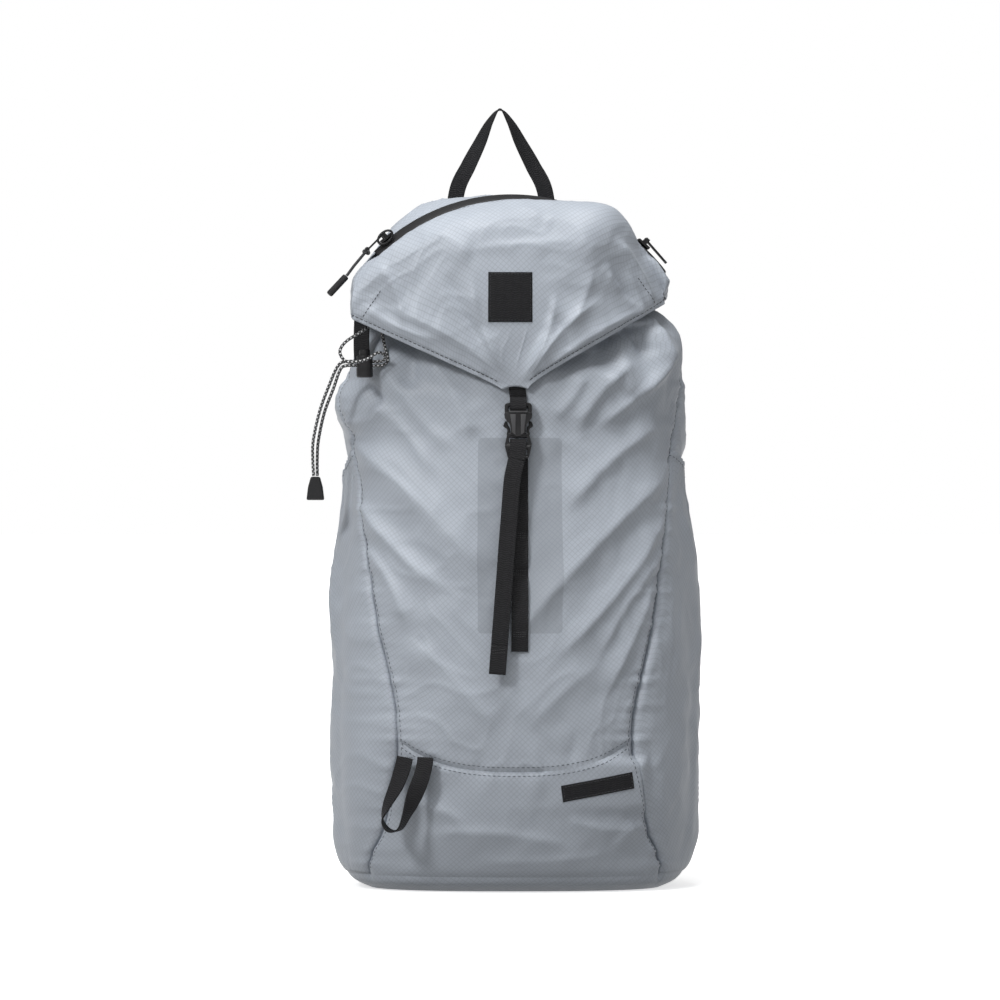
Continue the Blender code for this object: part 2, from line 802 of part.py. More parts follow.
def buckle_female():
    """Socket: front face and closed top, open at the mouth, sides and rear for the plug."""
    body = block("buckle_female", (21, 8.4, 23), PLASTIC, in_buckle(0, 0, 360.9), rounding=1.4)
    mouth = block("socket_mouth", (30, 12, 20), PLASTIC, in_buckle(0, 4.3, 351.0), where=helpers)
    slot = block("socket_slot", (14.2, 20, 4.4), PLASTIC, in_buckle(0, 0, 366.6), where=helpers)
    relief = block("socket_relief", (14.2, 6, 12), PLASTIC, in_buckle(0, 4.9, 372.0), where=helpers)
    front = block("socket_front_relief", (14.2, 6, 12), PLASTIC, in_buckle(0, -6.3, 372.0), where=helpers)
    cut(body, mouth, slot, relief, front)
    return body


def buckle_male():
    """Plug: ladder bars for the webbing and a guide tongue."""
    body = block("buckle_male", (19, 5.4, 19.5), PLASTIC, in_buckle(0, 0, 339.25), rounding=1.0)
    tongue = block("plug_tongue", (3.6, 2.6, 12), PLASTIC, in_buckle(0, 0, 353.5), where=helpers)
    join(body, tongue)
    for number, z in enumerate((343.4, 333.9)):
        hole = block(f"plug_slot_{number}", (13.9, 12, 4.0), PLASTIC, in_buckle(0, 0, z), where=helpers)
        cut(body, hole)
    return body


PRONG = [
    (5.2, 349.7),
    (8.6, 349.7),
    (9.4, 352.2),
    (11.9, 353.4),
    (12.6, 356.4),
    (12.2, 359.2),
    (9.6, 360.4),
    (6.4, 360.4),
    (6.2, 358.6),
    (8.7, 357.0),
    (8.8, 354.6),
    (7.4, 352.6),
]


def prong(side, sign):
    outline = [(sign * x, z) for x, z in PRONG]
    outline = outline if sign > 0 else outline[::-1]
    turn = Matrix.Rotation(math.pi / 2, 4, "X")
    made = plate(f"buckle_prong_{side}", outline, 3.0, PLASTIC, in_buckle(0, 0, 0) @ turn)
    pivot(in_buckle(sign * 6.9, 0, 350.4).translation, made)
    return made


def plug_webbing():
    """Closure webbing where it runs round the plug's middle bar."""
    stations = [
        strap_at(4.6, 337.6),
        strap_at(4.7, 341.0),
        strap_at(3.4, 343.6),
        strap_at(0, 343.9),
        strap_at(-3.6, 343.2),
        strap_at(-4.6, 340.0),
        strap_at(-4.7, 334.0, -0.5),
        strap_at(-4.9, 328.0, -1.3),
    ]
    return ribbon("plug_webbing", stations)


def strap_tail():
    """Free end of the closure webbing, hanging down the front."""
    stations = [strap_at(-4.9, 327.5, -1.4)]
    hang = [(314, -2.2, -105.0), (290, -4.2, -107.2), (262, -6.4, -109.4), (232, -8.6, -111.2), (202, -10.9, -112.4)]
    for z, x, y in hang + [(180, -12.6, -112.8), (167, -13.6, -112.8)]:
        stations.append(((x, y, z), (1, 0, 0.08)))
    made = ribbon("closure_strap_tail", stations)
    pivot(in_buckle(-1.4, -4.9, 327.5).translation, made)
    return made


lid_strap()
buckle_female()
plug = buckle_male()
prong("right", 1)
prong("left", -1)
plug_loop = plug_webbing()
strap_tail()

# ---------------------------------------------------------------- drawcord and cord lock
LOCK = Vector((-114.5, -67.0, 402.0))


def hem_drawcord():
    """Cord in the collar's hem, shown lying on the rim."""
    points = [skin(a, 470 * MM, -0.8 * MM) + Vector((0, 0, 1.8 * MM)) for a in spaced(0, 360, 40)[:-1]]
    return tube("hem_drawcord", points, CORD, CORD_BLACK, cyclic=True)


STRAND_FRONT = [
    (-62, -34, 461),
    (-78, -48, 456),
    (-96, -60, 445),
    (-108, -68, 433),
    (-117, -75, 426),
    (-129, -77, 418),
    (-133, -78, 410),
    (-127, -79, 403),
    (-114, -80, 404.5),
    (-104, -78, 410),
    (-99, -73, 408),
    (-100, -68.5, 404.5),
    (-105, -67, 403.6),
    (-114.5, -67, 403.6),
    (-129, -67, 403.6),
    (-135, -66.5, 400),
    (-141.5, -63, 386),
    (-149, -58, 366),
    (-154, -54, 344),
    (-154.5, -52, 330),
    (-153.9, -51, 316.8),
]
STRAND_REAR = [
    (-66, -35, 457),
    (-77, -43, 452),
    (-94, -54, 441),
    (-101, -59, 428),
    (-99, -62, 414),
    (-97, -65, 404.5),
    (-101, -66.5, 400.8),
    (-106, -67, 400.4),
    (-114.5, -67, 400.4),
    (-129, -67, 400.4),
    (-133.5, -66, 396.5),
    (-138.5, -61, 383),
    (-145.5, -55, 365),
    (-150.2, -50.5, 344),
    (-151.2, -48, 330),
    (-151.2, -47, 316.8),
]


def cord_lock():
    """Barrel with a sprung plunger; both strands run through it along X."""
    body = rod("cord_lock_body", 6.2, 17, PLASTIC, at(*LOCK) @ at(0, 0, -2), sides=20, rounding=1.0)
    bore = rod("lock_bore", 4.6, 30, PLASTIC, at(*LOCK) @ at(0, 0, 6), sides=20, where=helpers)
    way = block("lock_way", (30, 3.6, 6.2), PLASTIC, at(*LOCK), where=helpers)
    cut(body, bore, way)
    plunger = rod("cord_lock_plunger", 4.2, 16, PLASTIC, at(*LOCK) @ at(0, 0, 2.8), sides=20, rounding=0.8)
    plunger_way = block("plunger_way", (30, 3.6, 8.4), PLASTIC, at(*LOCK) @ at(0, 0, 1.1), where=helpers)
    cut(plunger, plunger_way)
    turns, steps = 2.5, 11
    coil = []
    for i in range(int(turns * steps) + 1):
        angle = 2 * math.pi * i / steps
        height = -8.5 + 2.8 * i / (turns * steps)
        coil.append((LOCK + Vector((3.2 * math.cos(angle), 3.2 * math.sin(angle), height))) * MM)
    tube("cord_lock_spring", coil, 0.5 * MM, STEEL)
    pivot(LOCK * MM, body)
    pivot(LOCK * MM, plunger)


def cord_end():
    outline = [(-6.8, -9), (6.8, -9), (5.6, 1), (3.4, 9), (-3.4, 9), (-5.6, 1)]
    turn = Matrix.Rotation(math.pi / 2, 4, "X")
    return plate("cord_end", outline, 8.0, PLASTIC, at(-152.6, -49, 307.2) @ turn, rounding=1.2)


hem_drawcord()
tube("drawcord_front", smooth_line(STRAND_FRONT, 76), CORD, CORD_BLACK)
tube("drawcord_rear", smooth_line(STRAND_REAR, 66), CORD, CORD_BLACK)
cord_lock()
cord_end()

# ---------------------------------------------------------------- side tabs under the lid
# The right one lies flat on the side; the left one hangs clear of the cloth beside the cord lock.
right_tab = []
for z, out in ((405, 1.4), (415, 1.6), (427, 2.4), (438, 3.0)):
    across = skin(106, z * MM) - skin(98, z * MM)
    right_tab.append((skin(102, z * MM, out * MM) / MM, across))
ribbon("lid_anchor_strap_right", right_tab)
left_tab = []
for x, y, z in ((-116.8, -46.6, 404), (-117.4, -47.4, 413), (-117.4, -47.4, 424), (-117.0, -46.6, 435)):
    left_tab.append(((x, y, z), (0.95, -0.32, 0)))
ribbon("lid_anchor_strap_left", left_tab)

# ---------------------------------------------------------------- back and harness


def padded_loft(name, stations, mat):
    """Padded strip through stations of (middle, width, thickness, across), millimetres, ends capped."""
    bm = bmesh.new()
    rings = []
    for middle, width, thick, across in stations:
        across = Vector(across).normalized()
        rings.append((Vector(middle), width, thick, across))
    loops = []
    for i, (middle, width, thick, across) in enumerate(rings):
        before = rings[max(i - 1, 0)][0]
        after = rings[min(i + 1, len(rings) - 1)][0]
        normal = across.cross(after - before).normalized()
        ring = []
        for u, v in ((-1, -0.35), (-0.86, -1), (0, -1), (0.86, -1), (1, -0.35), (1, 0.35), (0.86, 1), (0, 1)):
            ring.append(bm.verts.new((middle + across * u * width / 2 + normal * v * thick / 2) * MM))
        ring.append(bm.verts.new((middle - across * 0.86 * width / 2 + normal * thick / 2) * MM))
        ring.append(bm.verts.new((middle - across * width / 2 + normal * 0.35 * thick / 2) * MM))
        loops.append(ring)
    for low, high in zip(loops, loops[1:]):
        for i in range(len(low)):
            j = (i + 1) % len(low)
            bm.faces.new((low[i], low[j], high[j], high[i]))
    bm.faces.new(loops[0][::-1])
    bm.faces.new(loops[-1])
    bmesh.ops.recalc_face_normals(bm, faces=bm.faces)
    return add_mesh(name, bm, mat)


def back_pad():
    stations = []
    for z, half, y, thick in (
        (34, 84, 93.4, 7),
        (42, 92, 94.6, 11),
        (90, 96, 95.2, 14),
        (200, 92, 95.2, 14),
        (300, 86, 95.2, 14),
        (370, 80, 94.8, 13),
        (392, 74, 93.4, 10),
        (398, 68, 91.6, 6),
    ):
        stations.append(((0, y, z), 2 * half, thick, (1, 0, 0)))
    return padded_loft("back_pad", stations, MESH)


STRAP = [
    (38, 83.5, 440, 50, 5),
    (39, 92, 434, 54, 7),
    (43, 106, 420, 59, 10),
    (51, 119, 394, 62, 11),
    (59, 127, 362, 62, 11),
    (67, 131.5, 322, 62, 11),
    (74, 131.5, 282, 60, 11),
    (80.5, 128, 242, 56, 11),
    (85.5, 122, 206, 48, 9.5),
    (88.5, 116.5, 178, 34, 7),
]
STRAP_HINGE = Vector((0, 84, 440)) * MM


def harness(side, sign):
    """Shoulder strap with its adjuster, the webbing down to the base and the chest strap half."""
    stations = [((sign * x, y, z), width, thick, (1, sign * 0.06, 0)) for x, y, z, width, thick in STRAP]
    strap = padded_loft(f"shoulder_strap_{side}", stations, MESH)
    lean = Matrix.Rotation(math.radians(-11), 4, "X") @ Matrix.Rotation(math.radians(-sign * 6), 4, "Y")
    place = at(sign * 90.2, 112.5, 164.5) @ lean
    adjuster = block(f"strap_adjuster_{side}", (21, 4.6, 21), PLASTIC, place, rounding=0.9)
    for number, z in enumerate((5.2, -5.2)):
        hole = block(f"adjuster_slot_{side}_{number}", (14, 14, 4.4), PLASTIC, place @ at(0, 0, z), where=helpers)
        cut(adjuster, hole)
    tail = []
    for y, z in ((-3.6, -2), (-2.6, -5.0), (0, -5.9), (3.6, -5.4), (5.4, -9), (5.8, -20), (5.6, -50), (5.2, -88)):
        middle = place @ (Vector((0, y, z)) * MM)
        tail.append((middle / MM, (1, 0, 0)))
    tail = ribbon(f"webbing_tail_{side}", tail)
    lower = []
    for x, y, z in (
        (91.5, 107.5, 150.0),
        (96, 103.5, 128),
        (104, 96.5, 98),
        (112, 88.5, 70),
        (117, 82.5, 52),
    ):
        lower.append(((sign * x, y, z), (1, -sign * 0.55, 0)))
    ribbon(f"lower_webbing_{side}", lower)
    tab = [
        ((sign * 117.2, 63.0, 36), (0.4, 0, 1)),
        ((sign * 120.2, 70.0, 41), (0.2, 0, 1)),
        ((sign * 120.0, 77.0, 46), (0.1, 0, 1)),
    ]
    ribbon(f"base_tab_{side}", tab, width=18 * MM)
    pivot(STRAP_HINGE, strap, adjuster)
    pivot((place @ (Vector((0, 3.6, -5.4)) * MM)), tail)
    return strap


def chest_half(side, sign):
    """Slider on the strap with a short webbing that hangs with its half of the chest buckle."""
    way = Vector((sign * 8, 4.5, -40)).normalized()
    middle = Vector((sign * 62.5, 136.9, 342))
    frame = frame_of(middle * MM, (1, sign * 0.06, 0), -way)
    slider = block(f"sternum_slider_{side}", (26, 16, 3.6), PLASTIC, frame, rounding=0.9)
    hang = []
    for y, z in ((4.0, 338), (4.6, 330), (4.8, 315), (4.4, 296), (4.2, 288)):
        hang.append(((sign * 62.5, 136.9 + y, z), (1, 0, 0)))
    webbing = ribbon(f"sternum_webbing_{side}", hang)
    place = at(sign * 62.5, 142.0, 277.5)
    if sign > 0:
        half = block(f"sternum_buckle_{side}", (19, 5.6, 19), PLASTIC, place, rounding=1.0)
        for number, x in enumerate((-6.3, 0, 6.3)):
            finger = block(f"chest_finger_{number}", (3, 2.8, 12), PLASTIC, place @ at(x, 0, -14.5), where=helpers)
            join(half, finger)
    else:
        half = block(f"sternum_buckle_{side}", (20, 7.4, 20), PLASTIC, place @ at(0, 0, -0.5), rounding=1.2)
        mouth = block("chest_mouth", (16.4, 4.0, 15), PLASTIC, place @ at(0, 0, -6), where=helpers)
        cut(half, mouth)
    pivot(middle * MM, slider)
    pivot(Vector((sign * 62.5, 140.9, 338)) * MM, webbing, half)


back_pad()
for side, sign in (("right", 1), ("left", -1)):
    harness(side, sign)
    chest_half(side, sign)

# ---------------------------------------------------------------- origins on the joints' axes
pivot(HINGE, lid_front, lid_rear, lid_tape, lid_inner, lid_label)
pivot(ZIP_CENTRE, slider_left, slider_right)
pivot(pin_left, left_pull[0])
pivot(pin_right, right_pull)
pivot(in_buckle(0, 0, 339.25).translation, plug, plug_loop)
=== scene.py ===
"""Looks of the daypack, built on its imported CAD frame.

Lengths are in millimetres and angles in degrees. Materials, lights and the camera are in metres.
"""

import math

import bmesh
import bpy
import numpy as np
from mathutils import Matrix, Vector


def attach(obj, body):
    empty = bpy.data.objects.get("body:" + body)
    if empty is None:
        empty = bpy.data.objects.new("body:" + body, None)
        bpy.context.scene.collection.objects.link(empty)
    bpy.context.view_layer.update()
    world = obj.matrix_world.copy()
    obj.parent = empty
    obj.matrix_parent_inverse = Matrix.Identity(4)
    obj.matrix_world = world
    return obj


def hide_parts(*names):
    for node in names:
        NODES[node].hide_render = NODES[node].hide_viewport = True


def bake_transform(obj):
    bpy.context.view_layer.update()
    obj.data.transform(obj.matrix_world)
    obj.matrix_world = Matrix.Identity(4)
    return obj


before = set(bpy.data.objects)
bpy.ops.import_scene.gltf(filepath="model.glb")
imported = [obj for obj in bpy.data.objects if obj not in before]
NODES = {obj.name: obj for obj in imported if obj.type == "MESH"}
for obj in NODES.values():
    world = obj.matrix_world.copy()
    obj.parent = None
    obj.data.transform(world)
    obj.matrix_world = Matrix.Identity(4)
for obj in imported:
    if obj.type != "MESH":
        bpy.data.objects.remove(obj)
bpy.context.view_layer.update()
MM = 0.001

# ---------------------------------------------------------------- driving dimensions
WEB_WIDTH = 12.7
WEB_THICK = 1.3
CORD = 2.4
BASE_TOP = 12.0
BODY_TOP = 444.0  # height of the seam between the body and its collar, under the lid
COLLAR_TOP = 470.0
BACK_SEAM = 128.0  # degrees round from the front centre
CROSS_SEAM_LOW = 93.0  # height of the curved seam's middle
CROSS_SEAM_RISE = 24.0
FLOOR_GAP = 0.2
DEGREE = 2.05  # about how many millimetres of skin a degree covers
STEP = 2.3  # spacing of the fabric's mesh

# Skin of the pack: height, half width, front, back, roundness (2 is an ellipse).
BODY_KEYS = [
    (0, 112, -62, 70, 2.6),
    (4, 121, -72, 78, 2.6),
    (12, 130, -80, 83, 2.6),
    (30, 138, -89, 86, 2.6),
    (60, 141, -97, 87, 2.6),
    (100, 141, -102, 87, 2.6),
    (150, 141, -104, 87, 2.6),
    (200, 139, -102, 87, 2.6),
    (250, 136, -98, 87, 2.6),
    (300, 133, -93, 87, 2.6),
    (350, 130, -87, 87, 2.5),
    (400, 126, -84, 84, 2.4),
    (425, 120, -75, 77, 2.3),
    (447, 101, -59, 63, 2.2),
    (462, 76, -42, 48, 2.1),
    (470, 62, -32, 42, 2.0),
]
# Angle of the front seams, in degrees round from the front centre, against height.
SEAM_KEYS = [(0, 60), (20, 55), (45, 45), (75, 40), (117, 36), (135, 37)]
SEAM_KEYS += [(190, 45.5), (240, 54), (300, 65), (345, 74.5), (400, 86)]
# Lid outline through its middle: place along the lid, depth, radius about the lid's axis.
LID_KEYS = [
    (0.00, -92.0, 4.0),
    (0.08, -94.5, 36.0),
    (0.16, -95.5, 64.0),
    (0.24, -94.0, 90.0),
    (0.32, -89.0, 113.0),
    (0.39, -81.5, 131.0),
    (0.45, -71.5, 143.5),
    (0.50, -62.0, 149.4),
    (0.53, -55.4, 151.0),
    (0.55, -48.0, 151.4),
    (0.57, -40.6, 151.2),
    (0.63, -24.0, 150.2),
    (0.72, 2.0, 146.5),
    (0.81, 30.0, 138.0),
    (0.90, 58.0, 121.0),
    (0.96, 75.0, 103.0),
    (1.00, 85.0, 88.0),
]
HINGE_Y, HINGE_Z = 85.6, 457.2  # line that the lid's rear edge is sewn to
# Places along the lid, from its tip at 0 to its rear edge at 1.
ZIP_FRONT_AT = 0.53
ZIP_AT = 0.55
ZIP_REAR_AT = 0.57
LID_AXIS_X = -1.5
LID_AXIS_Z = 380.0
LID_LEFT = 156.0  # degrees about the lid's axis, from +X
LID_RIGHT = 30.0
ZIP_LEFT = 130.0
ZIP_RIGHT = 43.0
ZIP_YAW = math.radians(10)
SIDES = (("right", 1), ("left", -1))


# ---------------------------------------------------------------- numbers
def unit(vectors):
    vectors = np.asarray(vectors, float)
    return vectors / np.maximum(np.linalg.norm(vectors, axis=-1, keepdims=True), 1e-9)


def square_to(across, tangent):
    """Directions across, made square to a path's tangent."""
    return unit(across - tangent * np.sum(across * tangent, 1, keepdims=True))


def run_along(path):
    """Distance along a path at each of its points."""
    return np.concatenate([[0], np.cumsum(np.linalg.norm(np.diff(path[:, :3], axis=0), axis=1))])


def smooth(share):
    share = np.clip(share, 0.0, 1.0)
    return share * share * (3 - 2 * share)


def keyed(keys, at, column=1):
    """One column of a table of keys, read along a smooth curve through them."""
    table = np.array(keys, float)
    x, y = table[:, 0], table[:, column]
    slope = np.gradient(y, x)
    at = np.clip(np.asarray(at, float), x[0], x[-1])
    i = np.clip(np.searchsorted(x, at, side="right") - 1, 0, len(x) - 2)
    span = x[i + 1] - x[i]
    t = (at - x[i]) / span
    rise = y[i + 1] * (3 * t**2 - 2 * t**3) + y[i] * (2 * t**3 - 3 * t**2 + 1)
    return rise + span * (slope[i] * (t**3 - 2 * t**2 + t) + slope[i + 1] * (t**3 - t**2))


def waves(u, v, size, seed, count=16):
    """Soft noise, mostly from -1 to 1, whose waves are about as long as size."""
    rng = np.random.default_rng(seed)
    total = 0.0
    for turn, scale, phase in rng.uniform(0, 1, (count, 3)):
        turn, length = turn * math.pi, size * (0.7 + 0.8 * scale)
        along = u * math.cos(turn) + v * math.sin(turn)
        total = total + np.sin(2 * math.pi * (along / length + phase))
    return total / math.sqrt(2 * count)


def creases(u, v, size, seed):
    """Narrow bent ridges, from 0 to 1, like those in crumpled nylon."""
    bent = size * 0.35 * waves(u, v, size * 1.7, seed + 50)
    line = np.abs(waves(u + bent, v - bent, size, seed, 10))
    return np.clip(1 - line / 0.35, 0, 1) ** 1.6


def fold(u, v, start, end, width, height, bend=0.0, steep=0.5):
    """Ridge from start to end, bowed sideways by bend, its left side steeper than its right."""
    (au, av), (bu, bv) = start, end
    length = math.hypot(bu - au, bv - av)
    wu, wv = (bu - au) / length, (bv - av) / length
    t = ((u - au) * wu + (v - av) * wv) / length
    side = (v - av) * wu - (u - au) * wv - bend * 4 * t * (1 - t)
    near = np.where(side > 0, side / (width * steep), side / width)
    fade = smooth((t + 0.12) / 0.34) * smooth((1.12 - t) / 0.34)
    return height * fade * np.exp(-np.abs(near) ** 1.25)


def folds(u, v, rows, steep=0.5):
    return sum(fold(u, v, *row, steep=steep) for row in rows)


def even(first, last, step=STEP, edge=0.25):
    """Values from first to last about a step apart, closer together at both ends."""
    count = max(int(abs(last - first) / step), 4)
    share = np.linspace(0, 1, count + 1)
    share = share * (1 - edge) + edge * (0.5 - 0.5 * np.cos(math.pi * share))
    return first + (last - first) * share


# ---------------------------------------------------------------- surfaces
def skin(angle, z, out=0.0):
    """Points of the pack's skin at angles round from the front centre, stood off by out."""
    half, front, back, power = (keyed(BODY_KEYS, z, column) for column in (1, 2, 3, 4))
    half = half + out
    middle, depth = (front + back) / 2, (back - front) / 2 + out
    s, c = np.sin(np.radians(angle)), np.cos(np.radians(angle))
    x = np.sign(s) * half * np.abs(s) ** (2 / power)
    y = middle - np.sign(c) * depth * np.abs(c) ** (2 / power)
    return np.stack(np.broadcast_arrays(x, y, z), -1)


def front_seam(z):
    return keyed(SEAM_KEYS, z)


def cross_seam(angle):
    """Height of the curved seam over the lower front panel."""
    return CROSS_SEAM_LOW + CROSS_SEAM_RISE * (np.minimum(np.abs(angle), 37) / 36) ** 2


# Folds on the front: start and end as x and z, width, height, bow.
FRONT_FOLDS = [
    ((-132, 345), (-30, 250), 17, 9.0, 7),
    ((-112, 334), (-40, 262), 8, -4.0, 5),
    ((-126, 300), (-62, 236), 11, 5.0, -4),
    ((-112, 374), (-66, 322), 9, 3.0, 4),
    ((-132, 358), (-100, 372), 8, 4.0, -6),
    ((-118, 262), (-84, 206), 10, 4.0, 4),
    ((-96, 398), (-48, 338), 9, 3.4, -5),
    ((-58, 398), (-34, 346), 8, 3.2, 3),
    ((-34, 352), (-8, 318), 9, -2.6, 2),
    ((120, 316), (2, 196), 17, 6.4, -6),
    ((122, 290), (34, 182), 12, 4.8, 5),
    ((122, 262), (66, 182), 10, 3.6, -4),
    ((116, 356), (40, 292), 13, 4.6, -6),
    ((30, 330), (14, 372), 10, 2.4, -3),
    ((112, 404), (66, 356), 9, 5.4, 4),
    ((84, 398), (48, 352), 8, 4.6, -4),
    ((54, 396), (30, 360), 7, 3.4, 2),
    ((86, 437), (104, 410), 4, -8.5, 1),
    ((95, 440), (114, 406), 6, 6.0, 2),
    ((104, 448), (128, 420), 5, 6.0, -3),
    ((116, 416), (97, 378), 6, 6.0, 5),
    ((108, 400), (84, 372), 6, -4.0, 2),
    ((34, 400), (108, 436), 7, -5.5, 2),
    ((-84, 384), (-78, 422), 24, -7.0, 0),
    ((-101, 386), (-95, 414), 7, 3.0, 0),
    ((-66, 392), (-50, 420), 12, 3.0, 0),
    ((-124, 392), (-104, 372), 6, -5.5, 3),
    ((60, 400), (84, 430), 18, -6.0, 2),
    ((70, 386), (92, 404), 12, 4.0, 3),
    ((108, 236), (74, 158), 9, 3.6, 3),
    ((-78, 190), (-20, 132), 14, 2.6, 3),
    ((66, 176), (12, 128), 14, 2.6, -3),
    ((-66, 46), (40, 36), 8, 2.2, 5),
    ((-28, 25), (74, 31), 7, 1.8, -3),
    ((-92, 70), (-40, 56), 8, 2.4, 3),
    ((40, 58), (100, 50), 7, 2.6, -4),
    ((76, 34), (112, 60), 8, 1.8, 3),
]
# Folds on the sides: start and end as millimetres round from the front centre and z, width, height, bow.
SIDE_FOLDS = [
    ((118, 352), (150, 190), 10, 5.0, 8),
    ((150, 380), (182, 250), 11, 4.0, -6),
    ((136, 262), (108, 150), 9, 4.2, 5),
    ((152, 214), (116, 110), 8, 3.8, -4),
    ((205, 330), (172, 150), 12, 4.4, 8),
    ((124, 186), (146, 60), 10, 4.2, -7),
    ((172, 140), (158, 34), 10, 3.4, 4),
    ((96, 104), (130, 36), 8, 3.4, 5),
    ((140, 392), (126, 344), 7, 4.2, 2),
    ((182, 396), (196, 330), 8, 3.4, -3),
    ((222, 300), (230, 90), 12, 3.0, 6),
    ((222, 384), (206, 320), 8, 3.2, 3),
]
# Places where the gathered cloth bags out or is drawn in: degrees round, height, width, height over, depth.
BULGES = [
    (84, 424, 30, 28, 5.5),
    (-78, 372, 17, 17, 10.5),
    (-64, 432, 15, 20, -7.0),
    (-44, 404, 12, 14, 4.0),
    (52, 408, 9, 18, -4.5),
    (66, 420, 8, 22, 4.5),
    (92, 306, 26, 32, -3.6),
    (-92, 306, 26, 32, -4.4),
]


def calm_box(u, v, box, edge):
    """1 inside a box of u and v, fading to 0 over the edge's width outside it."""
    low_u, low_v, high_u, high_v = box
    away = np.maximum(np.maximum(low_u - u, u - high_u), np.maximum(low_v - v, v - high_v))
    return 1 - smooth(away / edge)


def seam_dip(away, along, depth=2.4, width=2.6, pucker=1.0, seed=3):
    """Groove of a sewn seam, with the short puckers that its thread draws in on both sides."""
    drawn = waves(along, along * 0, 11.0, seed, 8) + 0.6 * waves(along, along * 0, 6.0, seed + 1, 6)
    reach = np.exp(-np.abs(away) / 11.0)
    return -depth * np.exp(-np.abs(away / width) ** 1.3) + pucker * reach * drawn * smooth(np.abs(away) / 2.0)


def body_swell(angle, z):
    """How far the cloth of the body stands off its plain skin."""
    angle, z = np.broadcast_arrays(np.asarray(angle, float), np.asarray(z, float))
    plain = skin(angle, z)
    angle = (angle + 180) % 360 - 180
    x, y = plain[..., 0], plain[..., 1]
    side = np.abs(angle)
    way = np.sign(angle)
    around = DEGREE * side
    facing = smooth((-y - 6) / 34)
    low = smooth(z / 34)
    full = folds(x, z, FRONT_FOLDS)
    full = full * facing - 6.0 * facing * smooth((np.abs(x) - 22) / 78) * smooth((404 - z) / 60)
    shift = np.where(way > 0, 0.0, 17.0)
    flank = folds(around + shift * 0.4, z - shift, SIDE_FOLDS, 0.6)
    full = full + flank * (1 - facing) * smooth((262 - around) / 24)
    full = full + 1.1 * waves(x + y * 0.6, z * 0.8, 74, 11) + 0.45 * waves(x + y, z, 27, 12)
    full = full + 0.6 * creases(x + 0.8 * y, z * 0.85, 40, 13) * smooth((z - 20) / 40)
    # The top is gathered into the hem, the folds deepening as they climb.
    gather = smooth((z - 342) / 100)
    crowd = waves(angle, z * 0.045, 11.5, 21, 12) + 0.5 * waves(angle, z * 0.03, 6.0, 22, 12)
    full = full + gather * (2.0 + 0.8 * smooth((z - 420) / 40)) * crowd
    for place, height, wide, tall, out in BULGES:
        full = full + out * np.exp(-(((angle - place) / wide) ** 2) - np.abs((z - height) / tall) ** 2.4)
    from_back = DEGREE * (side - BACK_SEAM)
    full = full * (0.35 + 0.65 * smooth(-from_back / 26)) * low
    # Seams, and the calm places under what is sewn on.
    to_front = DEGREE * (side - front_seam(z))
    inside = smooth(-to_front / 5)
    strength = np.where(angle > 0, 1.5, 1.0)
    full = full + seam_dip(to_front, z, 2.6, 2.6, 0.9, 31) * strength * smooth((450 - z) / 12)
    full = full + inside * seam_dip(z - cross_seam(angle), x, 1.9, 2.2, 0.55, 33)
    full = full + seam_dip(from_back, z, 2.2, 2.6, 0.5, 35) * smooth((450 - z) / 12)
    full = full + seam_dip(z - BASE_TOP, around * way, 0.6, 2.4, 0.3, 37)
    return full - full * 0.8 * facing * calm_box(x, z, (30, 68, 96, 96), 12)


def body(angle, z, out=0.0):
    """Points of the pack on its draped cloth."""
    return skin(angle, z, body_swell(angle, z) + out)


def body_at(x, z, out=0.0):
    """Points of the front at these x and z, on the draped cloth."""
    x, z = np.broadcast_arrays(np.asarray(x, float), np.asarray(z, float))
    low, high = np.full(x.shape, -89.0), np.full(x.shape, 89.0)
    for _ in range(26):
        middle = (low + high) / 2
        left = skin(middle, z)[..., 0] < x
        low, high = np.where(left, middle, low), np.where(left, high, middle)
    return body(low, z, out)


def lid(phi, place, out=0.0):
    """Points of the lid at an angle about its axis and a place along it."""
    phi, place = np.broadcast_arrays(np.asarray(phi, float), np.asarray(place, float))
    y = keyed(LID_KEYS, place, 1)
    r = keyed(LID_KEYS, place, 2) + out
    rear = smooth((place - 0.57) / 0.1) * (1 - smooth((place - 0.84) / 0.16))
    bump = np.where(phi > 88, 0.075, -0.02)
    r = r * (1 + bump * rear * np.exp(-(((np.abs(phi - 88) - 29) / 17) ** 2)))
    c, s = np.cos(np.radians(phi)), np.sin(np.radians(phi))
    turned = smooth(place / 0.4) * (1 - smooth((place - 0.58) / 0.36))
    x = LID_AXIS_X + r * c * (1 - turned * (1 - math.cos(ZIP_YAW)))
    z = LID_AXIS_Z + r * s
    y = y + r * c * math.sin(ZIP_YAW) * turned
    y = y + 0.0022 * x * x * (1 - smooth((place - 0.28) / 0.27))
    x = np.where(x < -123, -123 + (x + 123) * 0.15, x)
    x = np.where(x > 116, 116 + (x - 116) * 0.15, x)
    x = x + (6.5 * c + 1.8) * np.exp(-np.maximum(r - 4, 0) / 12)
    rear_line = smooth((place - 0.7) / 0.3)
    across = (LID_LEFT - phi) / (LID_LEFT - LID_RIGHT)
    flat = (-105 + 210 * across, 86 + 0.4 * out, 457 + out * 0.2)
    mixed = [a * (1 - rear_line) + b * rear_line for a, b in zip((x, y, z), flat)]
    return np.stack(mixed, -1)


def zip_dip(phi, place):
    """How far the lid drops in front of the zip, most on the left, so that the zip shows."""
    left = 0.6 + 4.2 * smooth((phi - 52) / 70)
    return left * smooth((0.557 - place) / 0.03) * smooth((place - 0.34) / 0.13)


